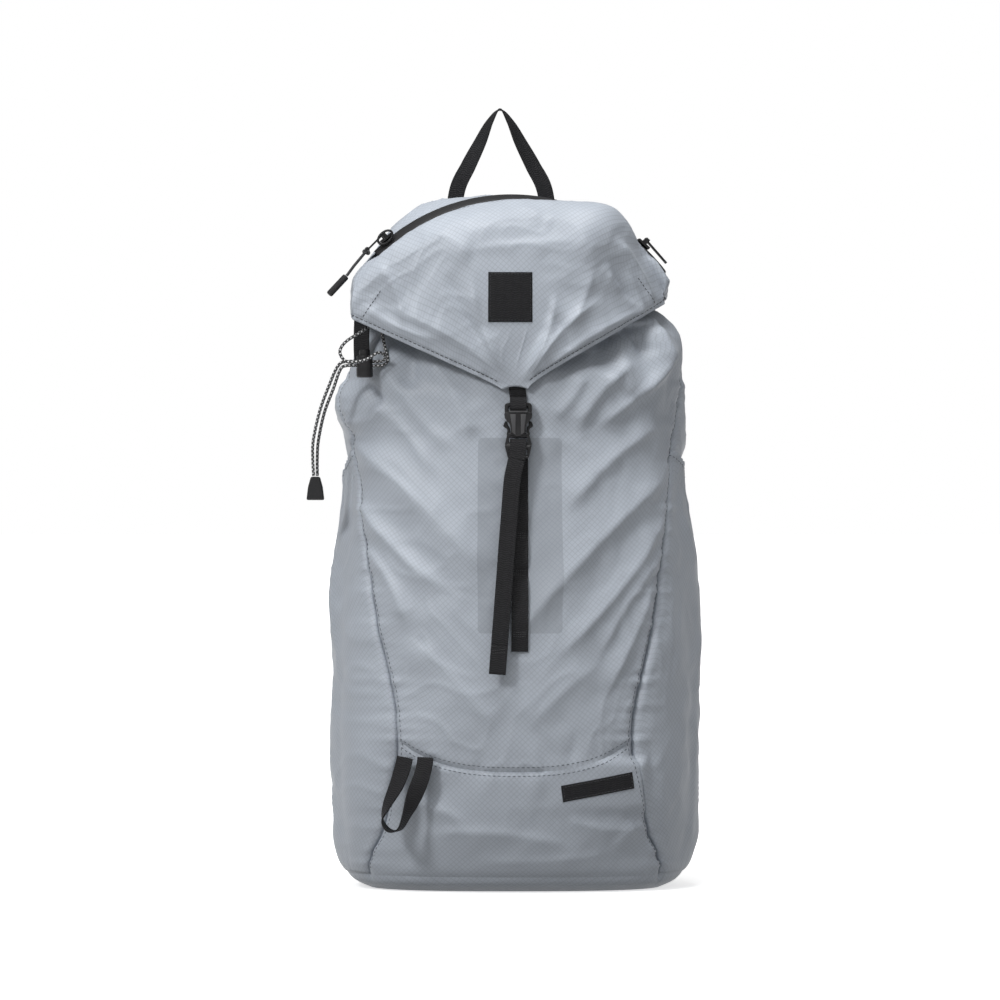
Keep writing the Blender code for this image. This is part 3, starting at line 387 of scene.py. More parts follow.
# Folds on the front of the lid: start and end as x and z, width, height, bow.
LID_FOLDS = [
    ((-4, 388), (-32, 462), 9, 4.2, 5),
    ((-10, 392), (-88, 440), 12, 4.0, -5),
    ((4, 388), (30, 452), 8, 4.6, -5),
    ((12, 392), (60, 448), 9, 4.2, 5),
    ((24, 398), (104, 446), 11, 3.6, 4),
    ((75, 492), (106, 446), 7, 7.5, 4),
    ((92, 496), (118, 452), 6, -4.5, 2),
    ((104, 486), (120, 458), 4, 3.6, 1),
    ((66, 476), (92, 444), 5, 3.0, -3),
    ((84, 470), (98, 436), 4, 3.4, 2),
    ((44, 500), (78, 456), 10, 2.8, -3),
    ((56, 470), (40, 430), 8, 3.0, 3),
    ((-106, 478), (-84, 432), 9, 4.2, 5),
    ((-116, 446), (-62, 420), 8, 3.2, -3),
    ((-66, 504), (-34, 482), 10, 2.4, 3),
    ((-36, 486), (40, 492), 9, 1.8, 3),
    ((22, 446), (44, 408), 7, -3.0, 2),
    ((-24, 416), (-50, 466), 8, -2.6, 2),
]


def lid_swell(phi, place):
    """How far the cloth of the lid stands off its plain surface."""
    plain = lid(phi, place)
    x, y, z = plain[..., 0], plain[..., 1], plain[..., 2]
    r = keyed(LID_KEYS, place, 2)
    front = smooth((ZIP_AT - place) / 0.06)
    full = folds(x, z, LID_FOLDS) * front
    full = full + 1.0 * waves(x, z + y, 60, 41) + 0.4 * waves(x, z + y, 24, 42)
    full = full + 0.6 * creases(x, z + 0.8 * y, 36, 43)
    rear = 1 - front
    full = full + rear * creases(x * 1.2, y, 46, 44) * smooth((0.97 - place) / 0.1)
    full = full * smooth(np.abs(place - ZIP_AT) / 0.05) * smooth((place + 0.01) / 0.1)
    # The pocket's filling pushes the cloth up in front of the zip's right half.
    shoulder = 14.5 * np.exp(-(((phi - 62.5) / 10.5) ** 2))
    full = full + shoulder * smooth((place - 0.2) / 0.25) * smooth((0.552 - place) / 0.05)
    full = full * (1 - 0.75 * front * calm_box(x, z, (-24, 431, 17, 476), 12))
    nearest = np.minimum(LID_LEFT - phi, phi - LID_RIGHT)
    edge = r * np.sin(np.radians(np.clip(nearest, 0, 60)))
    # Hem: the edge turns in, with a groove where it is sewn and small puckers between.
    hem = -1.5 * np.exp(-((edge / 4.2) ** 2)) - 0.5 * np.exp(-(((edge - 3.0) / 0.8) ** 2))
    drawn = 0.5 * waves(r, r * 0, 9.0, 45, 8) * np.exp(-(((edge - 3.0) / 4.0) ** 2))
    full = full + (hem + drawn) * smooth(r / 22) * (0.35 + 0.65 * front)
    seam = np.abs(place - ZIP_AT) * 260  # about how many millimetres the lid is long
    return full - 0.9 * np.exp(-(((seam - 7.6) / 1.1) ** 2)) * smooth(nearest / 8)


def lid_outward(phi, place):
    """Outward direction of the plain lid, square to its surface."""
    across = lid(phi + 0.4, place) - lid(phi - 0.4, place)
    along = lid(phi, place + 0.004) - lid(phi, place - 0.004)
    return unit(np.cross(along, across))


def lid_cloth(phi, place, out=0.0):
    """Points of the lid on its draped cloth."""
    phi, place = np.broadcast_arrays(np.asarray(phi, float), np.asarray(place, float))
    plain = lid(phi, place, -zip_dip(phi, place))
    return plain + lid_outward(phi, place) * (lid_swell(phi, place) + out)[..., None]


def lid_at(x, z, out=0.0):
    """Points of the lid's front at these x and z, on the draped cloth, stood off along -Y."""
    x, z = np.broadcast_arrays(np.asarray(x, float), np.asarray(z, float))
    phi = np.degrees(np.arctan2(z - LID_AXIS_Z, x - LID_AXIS_X))
    low, high = np.zeros(x.shape), np.full(x.shape, ZIP_AT)
    for _ in range(26):
        middle = (low + high) / 2
        under = lid(phi, middle)[..., 2] < z
        low, high = np.where(under, middle, low), np.where(under, high, middle)
    found = lid_cloth(phi, low)
    found[..., 1] -= out
    return found


# ---------------------------------------------------------------- materials
def nodes_of(name):
    made = bpy.data.materials.new(name)
    made.use_nodes = True
    tree = made.node_tree
    return made, tree, tree.nodes["Principled BSDF"]


def put(tree, node, values):
    """Links or sets a node's inputs, by name or number, and returns the node."""
    for name, value in values.items():
        if isinstance(value, bpy.types.NodeSocket):
            tree.links.new(value, node.inputs[name])
        else:
            node.inputs[name].default_value = value
    return node


def new_node(tree, kind, values):
    return put(tree, tree.nodes.new(f"ShaderNode{kind}"), values)


def maths(tree, operation, a, b=0.5, clamp=False):
    """Math node; a and b are sockets or numbers."""
    made = new_node(tree, "Math", {0: a, 1: b})
    made.operation = operation
    made.use_clamp = clamp
    return made.outputs[0]


def uv_parts(tree, layer="UVMap"):
    """The two numbers of a UV layer, in metres."""
    uv = new_node(tree, "UVMap", {})
    uv.uv_map = layer
    parts = new_node(tree, "SeparateXYZ", {0: uv.outputs[0]})
    return uv.outputs[0], parts.outputs[0], parts.outputs[1]


def noise(tree, vector, scale, detail=3.0, rough=0.55):
    values = {"Scale": scale, "Detail": detail, "Roughness": rough, "Vector": vector}
    return new_node(tree, "TexNoise", values).outputs[0]


def object_place(tree):
    return new_node(tree, "TexCoord", {}).outputs["Object"]


def times(colour, factor):
    return tuple(min(c * factor, 1) for c in colour)


def wire(tree, shader, colour, rough, normal, others):
    """Links the shader's colour, roughness and normal, and sets its other inputs."""
    put(tree, shader, {"Base Color": colour, "Roughness": rough, **others})
    if normal is not None:
        put(tree, shader, {"Normal": normal})


def mixed(tree, factor, a, b):
    """Colour mix; a and b are sockets or colours."""
    made = new_node(tree, "Mix", {0: factor})
    made.data_type = "RGBA"
    a, b = ((*c, 1) if isinstance(c, tuple) else c for c in (a, b))
    return put(tree, made, {6: a, 7: b}).outputs[2]


def bump(tree, height, distance, strength=1.0, under=None):
    """Bump node; distance in metres, under an earlier normal."""
    made = new_node(tree, "Bump", {"Strength": strength, "Distance": distance, "Height": height})
    if under is not None:
        put(tree, made, {"Normal": under})
    return made.outputs[0]


def ranged(tree, value, low, high):
    """Maps 0 to 1 onto low to high."""
    return new_node(tree, "MapRange", {"To Min": low, "To Max": high, "Value": value}).outputs[0]


def hypotenuse(tree, a, b):
    squares = maths(tree, "POWER", a, 2.0), maths(tree, "POWER", b, 2.0)
    return maths(tree, "SQRT", maths(tree, "ADD", *squares))


def stripe(tree, value, period, share):
    """1 in thin lines a period apart, 0 between, with soft edges."""
    turned = maths(tree, "PINGPONG", maths(tree, "DIVIDE", value, period / 2), 1.0)
    return maths(tree, "DIVIDE", maths(tree, "SUBTRACT", share, turned), share * 0.6, clamp=True)


def ripstop(name, colour, patch=False):
    """Thin coated nylon with a diamond of thicker threads and a fine plain weave."""
    made, tree, shader = nodes_of(name)
    uv, u, v = uv_parts(tree)
    rise = maths(tree, "MULTIPLY", maths(tree, "ADD", u, v), math.sqrt(0.5))
    fall = maths(tree, "MULTIPLY", maths(tree, "SUBTRACT", u, v), math.sqrt(0.5))
    lines = maths(tree, "MAXIMUM", stripe(tree, rise, 0.0031, 0.22), stripe(tree, fall, 0.0031, 0.22))
    cloud = noise(tree, uv, 26, 3)
    base = mixed(tree, cloud, times(colour, 0.94), times(colour, 1.06))
    if patch:
        # A second layer of cloth inside the front shows through it as a darker rounded rectangle.
        _, x, z = uv_parts(tree, "Front")
        across = maths(tree, "ABSOLUTE", maths(tree, "SUBTRACT", x, 0.0035))
        up = maths(tree, "ABSOLUTE", maths(tree, "SUBTRACT", z, 0.2715))
        dx = maths(tree, "MAXIMUM", maths(tree, "SUBTRACT", across, 0.0285), 0.0)
        dz = maths(tree, "MAXIMUM", maths(tree, "SUBTRACT", up, 0.0705), 0.0)
        away = hypotenuse(tree, dx, dz)
        inside = maths(tree, "DIVIDE", maths(tree, "SUBTRACT", 0.0036, away), 0.0005, clamp=True)
        inside = maths(tree, "MULTIPLY", inside, 0.75)
        base = mixed(tree, inside, base, times(colour, 0.72))
    tone = mixed(tree, maths(tree, "MULTIPLY", lines, 0.46), base, times(colour, 0.62))
    weave = maths(tree, "MULTIPLY", stripe(tree, u, 0.0005, 0.9), stripe(tree, v, 0.0005, 0.9))
    crinkle = bump(tree, noise(tree, uv, 210, 4, 0.6), 0.0007, 0.30)
    threads = bump(tree, lines, 0.00012, 0.45, crinkle)
    rough = ranged(tree, noise(tree, uv, 60, 2), 0.40, 0.56)
    others = {"Specular IOR Level": 0.42, "Sheen Weight": 0.12, "Sheen Roughness": 0.4}
    wire(tree, shader, tone, rough, bump(tree, weave, 0.00003, 0.3, threads), others)
    return made


def webbing_material(name, colour):
    """Ribbed polypropylene tape: cross ribs in two halves of a flat herringbone, with plain selvedges."""
    made, tree, shader = nodes_of(name)
    uv, u, v = uv_parts(tree)
    lean = maths(tree, "MULTIPLY", maths(tree, "PINGPONG", u, 0.0032), 0.35)
    ribs = maths(tree, "PINGPONG", maths(tree, "DIVIDE", maths(tree, "ADD", v, lean), 0.00085), 1.0)
    fine = maths(tree, "PINGPONG", maths(tree, "DIVIDE", u, 0.0004), 1.0)
    height = maths(tree, "ADD", ribs, maths(tree, "MULTIPLY", fine, 0.35))
    mottle_and_rib_light = maths(tree, "MULTIPLY", noise(tree, uv, 900, 2), 0.5)
    # Rib crests are painted lighter and the grooves between them darker: painted light and shade on the ribs,
    # over a random mottle of the tape's own tone.
    mottle_and_rib_light = maths(tree, "ADD", maths(tree, "MULTIPLY", ribs, 0.6), mottle_and_rib_light)
    tone = mixed(tree, mottle_and_rib_light, times(colour, 0.3), times(colour, 2.2))
    surface = bump(tree, height, 0.00035, 0.8)
    wire(tree, shader, tone, ranged(tree, ribs, 0.72, 0.52), surface, {"Specular IOR Level": 0.16})
    return made


def plastic(name, colour, rough=0.36):
    """Moulded acetal with a faint spark-eroded grain and roughness that varies a little from place to place.
    """
    made, tree, shader = nodes_of(name)
    place = object_place(tree)
    grain = bump(tree, noise(tree, place, 1800, 3, 0.6), 0.00006, 0.5)
    tone = mixed(tree, noise(tree, place, 90, 2), times(colour, 0.8), times(colour, 1.3))
    worn = ranged(tree, noise(tree, place, 320, 3), rough - 0.06, rough + 0.1)
    wire(tree, shader, tone, worn, grain, {"Specular IOR Level": 0.3})
    return made


def cord_material(name, colour, fleck, share=0.5):
    """Braided cord: diagonal carriers with light tracer flecks."""
    made, tree, shader = nodes_of(name)
    _, u, v = uv_parts(tree)
    along, round_it = maths(tree, "DIVIDE", v, 0.0031), maths(tree, "MULTIPLY", u, 2.0)
    one = maths(tree, "ADD", along, round_it)
    two = maths(tree, "SUBTRACT", along, round_it)
    height = maths(tree, "ADD", maths(tree, "PINGPONG", one, 0.5), maths(tree, "PINGPONG", two, 0.5))
    crossing = (maths(tree, "LESS_THAN", maths(tree, "FRACT", part), share) for part in (one, two))
    mark = maths(tree, "MULTIPLY", *crossing)
    tone = mixed(tree, mark, colour, fleck)
    surface = bump(tree, height, 0.0004, 0.8)
    wire(tree, shader, tone, ranged(tree, height, 0.75, 0.5), surface, {"Sheen Weight": 0.1})
    return made


def air_mesh(name, colour):
    """Knitted spacer mesh: rows of small holes, offset from row to row."""
    made, tree, shader = nodes_of(name)
    uv, u, v = uv_parts(tree)
    cell = 0.0034  # metres from hole to hole
    row = maths(tree, "FLOOR", maths(tree, "DIVIDE", v, cell * 0.8))
    shift = maths(tree, "MULTIPLY", maths(tree, "MODULO", row, 2.0), 0.5)
    a = maths(tree, "PINGPONG", maths(tree, "ADD", maths(tree, "DIVIDE", u, cell), shift), 0.5)
    b = maths(tree, "PINGPONG", maths(tree, "DIVIDE", v, cell * 0.8), 0.5)
    far = hypotenuse(tree, a, b)
    hole = maths(tree, "DIVIDE", maths(tree, "SUBTRACT", far, 0.16), 0.16, clamp=True)
    yarn = noise(tree, uv, 1400, 3)
    # The holes are painted darker than the yarn round them: painted shade in their depth.
    tone = mixed(tree, hole, times(colour, 0.25), times(colour, 1.5))
    both = maths(tree, "ADD", hole, maths(tree, "MULTIPLY", yarn, 0.35))
    surface = bump(tree, both, 0.0007, 0.9)
    wire(tree, shader, tone, ranged(tree, yarn, 0.75, 0.95), surface, {"Sheen Weight": 0.25})
    return made


def thread(name, colour):
    """Twisted sewing thread."""
    made, tree, shader = nodes_of(name)
    twist = noise(tree, object_place(tree), 2600, 2)
    tone = mixed(tree, twist, times(colour, 0.7), times(colour, 1.25))
    wire(tree, shader, tone, ranged(tree, twist, 0.5, 0.7), bump(tree, twist, 0.0001, 0.6), {})
    return made


def steel(name):
    """Drawn spring wire."""
    made, tree, shader = nodes_of(name)
    marks = noise(tree, object_place(tree), 1500, 2)
    tone = mixed(tree, marks, (0.42, 0.42, 0.44), (0.62, 0.62, 0.64))
    wire(tree, shader, tone, ranged(tree, marks, 0.25, 0.4), None, {"Metallic": 1.0})
    return made


FABRIC = (0.405, 0.442, 0.496)
GREY = ripstop("ripstop_grey", FABRIC)
FRONT_GREY = ripstop("ripstop_grey_front", FABRIC, patch=True)
LINING = ripstop("lining_grey", (0.27, 0.305, 0.345))
WEBBING = webbing_material("webbing_black", (0.0085, 0.0085, 0.0095))
BINDING = webbing_material("binding_black", (0.010, 0.010, 0.011))
LABEL = webbing_material("label_woven", (0.006, 0.006, 0.007))
PLASTIC = plastic("plastic_black", (0.006, 0.006, 0.007), 0.42)
ZIP_COAT = plastic("zip_coating_black", (0.012, 0.012, 0.013), 0.5)
# Lighter grey plastic for the buckle's lip, side ridges and lower bar: a painted highlight on raised edges of
# the black plastic.
HIGHLIGHT_PLASTIC = plastic("plastic_painted_highlight", (0.055, 0.055, 0.058), 0.42)
CORD_FLECKED = cord_material("cord_flecked", (0.010, 0.010, 0.011), (0.62, 0.63, 0.64))
CORD_BLACK = cord_material("cord_black", (0.010, 0.010, 0.011), (0.022, 0.022, 0.024))
MESH = air_mesh("air_mesh_black", (0.020, 0.020, 0.022))
THREAD_GREY = thread("thread_grey", (0.085, 0.096, 0.112))
THREAD_DARK = thread("thread_dark", (0.02, 0.021, 0.024))
STEEL = steel("spring_steel")


# ---------------------------------------------------------------- mesh helpers
def placed(name, data):
    """Object of this mesh, lamp or camera, in the scene."""
    made = bpy.data.objects.new(name, data)
    bpy.context.scene.collection.objects.link(made)
    return made


def settle(obj, rider, nodes=()):
    """Puts a finished piece on its body, in place of these CAD nodes."""
    if rider:
        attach(obj, rider)
    if nodes:
        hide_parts(*nodes)
    return obj


def mesh_of(name, points, faces, mat, uvs=None, layers=()):
    """Smooth mesh from points in millimetres, faces and a UV pair in metres for each point."""
    mesh = bpy.data.meshes.new(name)
    mesh.from_pydata((np.asarray(points, float) * MM).tolist(), [], [tuple(f) for f in faces])
    mesh.polygons.foreach_set("use_smooth", [True] * len(mesh.polygons))
    spots = np.empty(len(mesh.loops), int)
    mesh.loops.foreach_get("vertex_index", spots)
    named = [("UVMap", uvs)] if uvs is not None else []
    for layer, values in [*named, *layers]:
        made = mesh.uv_layers.new(name=layer)
        made.data.foreach_set("uv", np.asarray(values, float).reshape(-1, 2)[spots].ravel())
    mesh.materials.append(mat)
    return placed(name, mesh)


def grid_faces(rows, columns, offset=0):
    index = np.arange(rows * columns).reshape(rows, columns) + offset
    corners = (index[:-1, :-1], index[:-1, 1:], index[1:, 1:], index[1:, :-1])
    return np.stack(corners, -1).reshape(-1, 4).tolist()


def cloth(name, points, mat, rider, nodes=(), thick=0.0, front=None):
    """Piece of cloth from rows of points, lowest first, each row running to the right seen from outside."""
    rows, columns = points.shape[:2]
    run = np.linalg.norm(np.diff(points, axis=1), axis=2)
    u = np.concatenate([np.zeros((rows, 1)), np.cumsum(run, 1)], 1)
    u = u - u[:, columns // 2 : columns // 2 + 1]
    climb = np.linalg.norm(np.diff(points, axis=0), axis=2)
    v = np.concatenate([np.zeros((1, columns)), np.cumsum(climb, 0)], 0)
    v = v + points[0, columns // 2, 2]
    layers = []
    if front is not None:
        layers.append(("Front", front.reshape(-1, 2) * MM))
    uvs = np.stack([u, v], -1).reshape(-1, 2) * MM
    made = mesh_of(name, points.reshape(-1, 3), grid_faces(rows, columns), mat, uvs, layers)
    if thick:
        shell = made.modifiers.new("thickness", "SOLIDIFY")
        shell.thickness = thick * MM
        shell.offset = -1.0
    return settle(made, rider, nodes)


def loft(name, columns, uvs, mat, rider, nodes, ends=True):
    """Closed skin over columns of points, each with its UVs in metres."""
    points, uvs = np.stack(columns, 1), np.stack(uvs, 1)
    faces = grid_faces(*points.shape[:2])
    made = mesh_of(name, points.reshape(-1, 3), faces, mat, uvs.reshape(-1, 2))
    bm = bmesh.new()
    bm.from_mesh(made.data)
    bmesh.ops.remove_doubles(bm, verts=bm.verts, dist=1e-6)
    if ends:
        bmesh.ops.holes_fill(bm, edges=[e for e in bm.edges if e.is_boundary], sides=0)
    bmesh.ops.recalc_face_normals(bm, faces=bm.faces)
    bm.to_mesh(made.data)
    bm.free()
    return settle(made, rider, nodes)


def along_curve(points, step):
    """Points about a step apart along a smooth curve through rows of numbers, the first three a place."""
    points = np.asarray(points, float)
    ends = np.vstack([2 * points[0] - points[1], points, 2 * points[-1] - points[-2]])
    t = np.linspace(0, 1, 24, endpoint=False)[:, None]
    dense = []
    for a, b, c, d in zip(ends, ends[1:], ends[2:], ends[3:]):
        bend = (2 * a - 5 * b + 4 * c - d) * t**2 + (3 * b - a - 3 * c + d) * t**3
        dense.append(0.5 * (2 * b + (c - a) * t + bend))
    dense = np.vstack([*dense, points[-1:]])
    run = run_along(dense)
    wanted = np.linspace(0, run[-1], max(int(run[-1] / step), 3) + 1)
    return np.stack([np.interp(wanted, run, dense[:, i]) for i in range(dense.shape[1])], -1)


# Cross section of webbing: places across, from -1 to 1, and thickness, fuller at the selvedges.
WEB_SECTION = [(-1.0, 0.0), (-0.985, 0.75), (-0.93, 1.06), (-0.85, 1.0), (-0.5, 0.9), (0.0, 0.9)]
WEB_SECTION += [(-across, thick) for across, thick in WEB_SECTION[-2::-1]]


def webbing(name, stations, rider, nodes=(), width=WEB_WIDTH, thick=WEB_THICK, mat=WEBBING, step=1.4):
    """Flat strap through stations of (middle point, direction across), its UVs in metres of tape."""
    rows = [(*middle, *unit(across)) for middle, across in stations]
    path = along_curve(rows, step)
    middle, across = path[:, :3], unit(path[:, 3:])
    tangent = unit(np.gradient(middle, axis=0))
    across = square_to(across, tangent)
    normal = np.cross(across, tangent)
    ring = [*WEB_SECTION, *[(u, -v) for u, v in WEB_SECTION[-2:0:-1]]]
    ring.append(ring[0])
    points, uvs = [], []
    run = run_along(middle)
    for u, v in ring:
        points.append(middle + across * u * width / 2 + normal * v * thick / 2)
        uvs.append(np.stack([np.full(len(run), u * width / 2 + 20), run], -1) * MM)
    return loft(name, points, uvs, mat, rider, nodes)


def frames_along(path):
    """Two directions square to a path at each point, carried along without twist."""
    tangent = unit(np.gradient(path, axis=0))
    side = np.cross(tangent[0], (0.3, 0.5, 0.81))
    sides = []
    for way in tangent:
        side = unit(side - way * np.dot(side, way))
        sides.append(side)
    sides = np.array(sides)
    return sides, np.cross(tangent, sides)


def tube(name, path, diameter, mat, rider, nodes=(), sides=14, closed=False):
    """Round cord along a path, with UVs round it (0 to 1) and along it."""
    path = np.asarray(path, float)
    side, up = frames_along(path)
    run = run_along(path)
    points, uvs = [], []
    for share in np.linspace(0, 1, sides + 1):
        angle = 2 * math.pi * share
        points.append(path + (side * math.cos(angle) + up * math.sin(angle)) * diameter / 2)
        uvs.append(np.stack([np.full(len(run), share), run * MM], -1))
    return loft(name, points, uvs, mat, rider, nodes, ends=not closed)


def stitches(name, path, normals, rider, mat=THREAD_GREY, length=2.5, gap=1.3, radius=0.3):
    """Row of sewn dashes lying on a surface along a path."""
    path, normals = np.asarray(path, float), unit(normals)
    run = run_along(path)
    starts = np.arange(gap, run[-1] - length, length + gap)
    points, faces = [], []
    for start in starts:
        spots = [
            np.array([np.interp(start + length * share, run, path[:, i]) for i in range(3)])
            for share in (0, 0.18, 0.82, 1)
        ]
        up = unit([np.interp(start + length / 2, run, normals[:, i]) for i in range(3)])
        way = unit(spots[3] - spots[0])
        across = unit(np.cross(way, up))
        base = len(points)
        points.append(spots[0] - up * radius * 0.5)
        for spot in spots[1:3]:
            for a, b in ((1, 0), (0.5, 0.9), (-0.5, 0.9), (-1, 0)):
                points.append(spot + (across * a + up * b) * radius)
        points.append(spots[3] - up * radius * 0.5)
        for i in range(3):
            faces.append((base, base + 1 + i, base + 2 + i))
            faces.append((base + 1 + i, base + 5 + i, base + 6 + i, base + 2 + i))
            faces.append((base + 9, base + 6 + i, base + 5 + i))
    if not points:
        return None
    return settle(mesh_of(name, points, faces, mat), rider)


def cloth_normals(surface, a, b, small=0.4):
    """Outward normals of a surface function of two numbers."""
    over_a = surface(a + small, b) - surface(a - small, b)
    over_b = surface(a, b + small) - surface(a, b - small)
    return unit(np.cross(over_a, over_b))


def at(x, y, z):
    """Matrix that moves by millimetres."""
    return Matrix.Translation(Vector((x, y, z)) * MM)


def solid(name, build, mat, matrix, rounding):
    """Hard piece made by build(bmesh) in millimetres, its sharp edges rounded, not yet riding."""
    bm = bmesh.new()
    build(bm)
    bmesh.ops.recalc_face_normals(bm, faces=bm.faces)
    sharp = [e for e in bm.edges if len(e.link_faces) == 2 and e.calc_face_angle() > 0.5]
    bmesh.ops.bevel(
        bm, geom=sharp, offset=rounding, segments=3, profile=0.5, affect="EDGES", clamp_overlap=True
    )
    bmesh.ops.scale(bm, vec=(MM, MM, MM), verts=bm.verts)
    mesh = bpy.data.meshes.new(name)
    bm.to_mesh(mesh)
    bm.free()
    mesh.polygons.foreach_set("use_smooth", [True] * len(mesh.polygons))
    mesh.materials.append(mat)
    mesh.transform(matrix)
    return placed(name, mesh)


def outline_plate(outline, low, high):
    """build function of a plate: an outline in x and z from y low to y high."""

    def build(bm):
        below = [bm.verts.new((x, low, z)) for x, z in outline]
        face = bm.faces.new(below)
        made = bmesh.ops.extrude_face_region(bm, geom=[face])["geom"]
        moved = [item for item in made if isinstance(item, bmesh.types.BMVert)]
        bmesh.ops.translate(bm, vec=(0, high - low, 0), verts=moved)

    return build


def frame_plate(outer, inner, low, high):
    """build function of a ring: two outlines of equally many points in x and z, from y low to y high."""

    def build(bm):
        count = len(outer)
        loops = []
        for y in (low, high):
            for line in (outer, inner):
                loops.append([bm.verts.new((x, y, z)) for x, z in line])
        out_low, in_low, out_high, in_high = loops
        for i in range(count):
            j = (i + 1) % count
            bm.faces.new((out_low[i], out_low[j], in_low[j], in_low[i]))
            bm.faces.new((out_high[j], out_high[i], in_high[i], in_high[j]))
            bm.faces.new((out_low[j], out_low[i], out_high[i], out_high[j]))
            bm.faces.new((in_low[i], in_low[j], in_high[j], in_high[i]))

    return build


def rounded(width, height, radius, x=0.0, z=0.0, corner=5):
    """Outline of a rounded rectangle about a centre."""
    line = []
    for turn, (sx, sz) in enumerate(((1, 1), (-1, 1), (-1, -1), (1, -1))):
        for step in range(corner + 1):
            angle = math.pi / 2 * (turn + step / corner)
            line.append((
                x + sx * (width / 2 - radius) + radius * math.cos(angle),
                z + sz * (height / 2 - radius) + radius * math.sin(angle),
            ))
    return line


# ---------------------------------------------------------------- camera
camera_data = bpy.data.cameras.new("camera")
camera_data.sensor_width = 36
camera_data.lens = 188.2
camera_data.clip_end = 100
camera = placed("camera", camera_data)
camera.location = (-0.0115, -4.045, 0.2983)
camera.rotation_euler = (math.pi / 2, 0, 0)
bpy.context.scene.camera = camera

# ---------------------------------------------------------------- cords
STRAND_FRONT = [
    (-62, -34, 461),
    (-78, -48, 456),
    (-96, -60, 445),
    (-108, -68, 433),
    (-117, -75, 426),
    (-129, -77, 418),
    (-133, -78, 410),
    (-127, -79, 403),
    (-114, -80, 404.5),
    (-104, -78, 410),
    (-99, -73, 408),
    (-100, -68.5, 404.5),
    (-105, -67, 403.6),
    (-114.5, -67, 403.6),
    (-129, -67, 403.6),
    (-135, -66.5, 400),
    (-141.5, -63, 386),
    (-149, -58, 366),
    (-154, -54, 344),
    (-154.5, -52, 330),
    (-153.9, -51, 316.8),
]
STRAND_REAR = [
    (-66, -35, 457),
    (-77, -43, 452),
    (-94, -54, 441),
    (-101, -59, 428),
    (-99, -62, 414),
    (-97, -65, 404.5),
    (-101, -66.5, 400.8),
    (-106, -67, 400.4),
    (-114.5, -67, 400.4),
    (-129, -67, 400.4),
    (-133.5, -66, 396.5),
    (-138.5, -61, 383),
    (-145.5, -55, 365),
    (-150.2, -50.5, 344),
    (-151.2, -48, 330),
    (-151.2, -47, 316.8),
]


def free_cord(name, route, node):
    """Strand of the hem's drawcord, from the collar to the shared cord end."""
    path = along_curve(route, 1.0)
    made = tube(name, path, CORD, CORD_FLECKED, "pack", [node])
    length = float(np.sum(np.linalg.norm(np.diff(path, axis=0), axis=1))) * MM
    return made, path, length


front_strand, front_path, front_length = free_cord("strand_front", STRAND_FRONT, "drawcord_front")
rear_strand, rear_path, rear_length = free_cord("strand_rear", STRAND_REAR, "drawcord_rear")


def cord_root(name, start, angle, z):
    """Eyelet in the collar, and the end of cord that comes out of it."""
    hole = body(np.array([angle]), np.array([z]))[0]
    out = unit(np.array(start) - hole)
    route = along_curve([hole - 5 * out, hole, start, np.array(start) + out], 0.5)
    tube(f"{name}_root", route, CORD, CORD_FLECKED, "pack")
    way = unit(np.cross(out, (0, 0, 1)))
    turn = np.linspace(0, 2 * math.pi, 33)[:, None]
    ring = hole + 0.4 * out + 2.6 * (np.cos(turn) * way + np.sin(turn) * np.cross(out, way))
    tube(f"{name}_eyelet", ring, 1.6, PLASTIC, "pack", closed=True)


cord_root("cord_front", STRAND_FRONT[0], -44.8, 458.5)
cord_root("cord_rear", STRAND_REAR[0], -46.5, 455.0)
ring_angles = np.linspace(-180, 180, 161)
ring_path = skin(ring_angles, np.full(161, COLLAR_TOP), -0.8) + np.array((0, 0, 1.6))
tube("hem_cord", ring_path, CORD, CORD_FLECKED, "pack", ["hem_drawcord"], closed=True)

# ---------------------------------------------------------------- body panels
COLUMNS_AT = 200.0  # height at which the columns of every panel are spaced evenly


def even_angles(first, last, step=STEP):
    """Shares from 0 to 1 that space a panel's columns evenly along its skin."""
    angles = np.linspace(first, last, 600)
    points = skin(angles, np.full(600, COLUMNS_AT))
    run = run_along(points)
    wanted = even(0, run[-1], step)
    return (np.interp(wanted, run, angles) - first) / (last - first)


def panel_points(first, last, bottom, top, step=STEP, out=None):
    """Grid of draped cloth between two angles and two heights, each a function; out adds to it."""
    share_a = even_angles(float(first(COLUMNS_AT)), float(last(COLUMNS_AT)), step)
    middle = (float(np.mean(bottom(np.array([0.0])))), float(np.mean(top(np.array([0.0])))))
    share_z = (even(*middle, step) - middle[0]) / (middle[1] - middle[0])
    a, s = np.meshgrid(share_a, share_z)
    angle = first(COLUMNS_AT) + (last(COLUMNS_AT) - first(COLUMNS_AT)) * a
    for _ in range(3):
        z = bottom(angle) + s * (top(angle) - bottom(angle))
        angle = first(z) + (last(z) - first(z)) * a
    extra = 0.0 if out is None else out(a, s)
    return body(angle, z, extra), skin(angle, z)


def flat(z):
    """Height function of a level edge."""
    return lambda angle: np.full(np.shape(angle), float(z))


points, plain = panel_points(lambda z: -front_seam(z), front_seam, cross_seam, flat(BODY_TOP))
cloth("front_cloth", points, FRONT_GREY, "pack", ["front_panel"], front=plain[..., [0, 2]])
points, plain = panel_points(lambda z: -front_seam(z), front_seam, flat(BASE_TOP), cross_seam)
cloth("lower_front_cloth", points, GREY, "pack", ["lower_front_panel"])
points, plain = panel_points(
    lambda z: BACK_SEAM + 0 * z, lambda z: 360 - BACK_SEAM + 0 * z, flat(BASE_TOP), flat(BODY_TOP), 3.0
)
cloth("back_cloth", points, GREY, "pack", ["back_panel"])

SIDE_INSET = -6.0  # the side panel lies behind its pocket
POCKET_TOP = 334.0


def side_inset(across, share):
    """How far the side panel is drawn in behind its pocket."""
    z = BASE_TOP + share * (BODY_TOP - BASE_TOP)
    depth = smooth((POCKET_TOP + 14 - z) / 40) * smooth((z - BASE_TOP) / 60)
    return SIDE_INSET * np.sin(math.pi * across) * depth


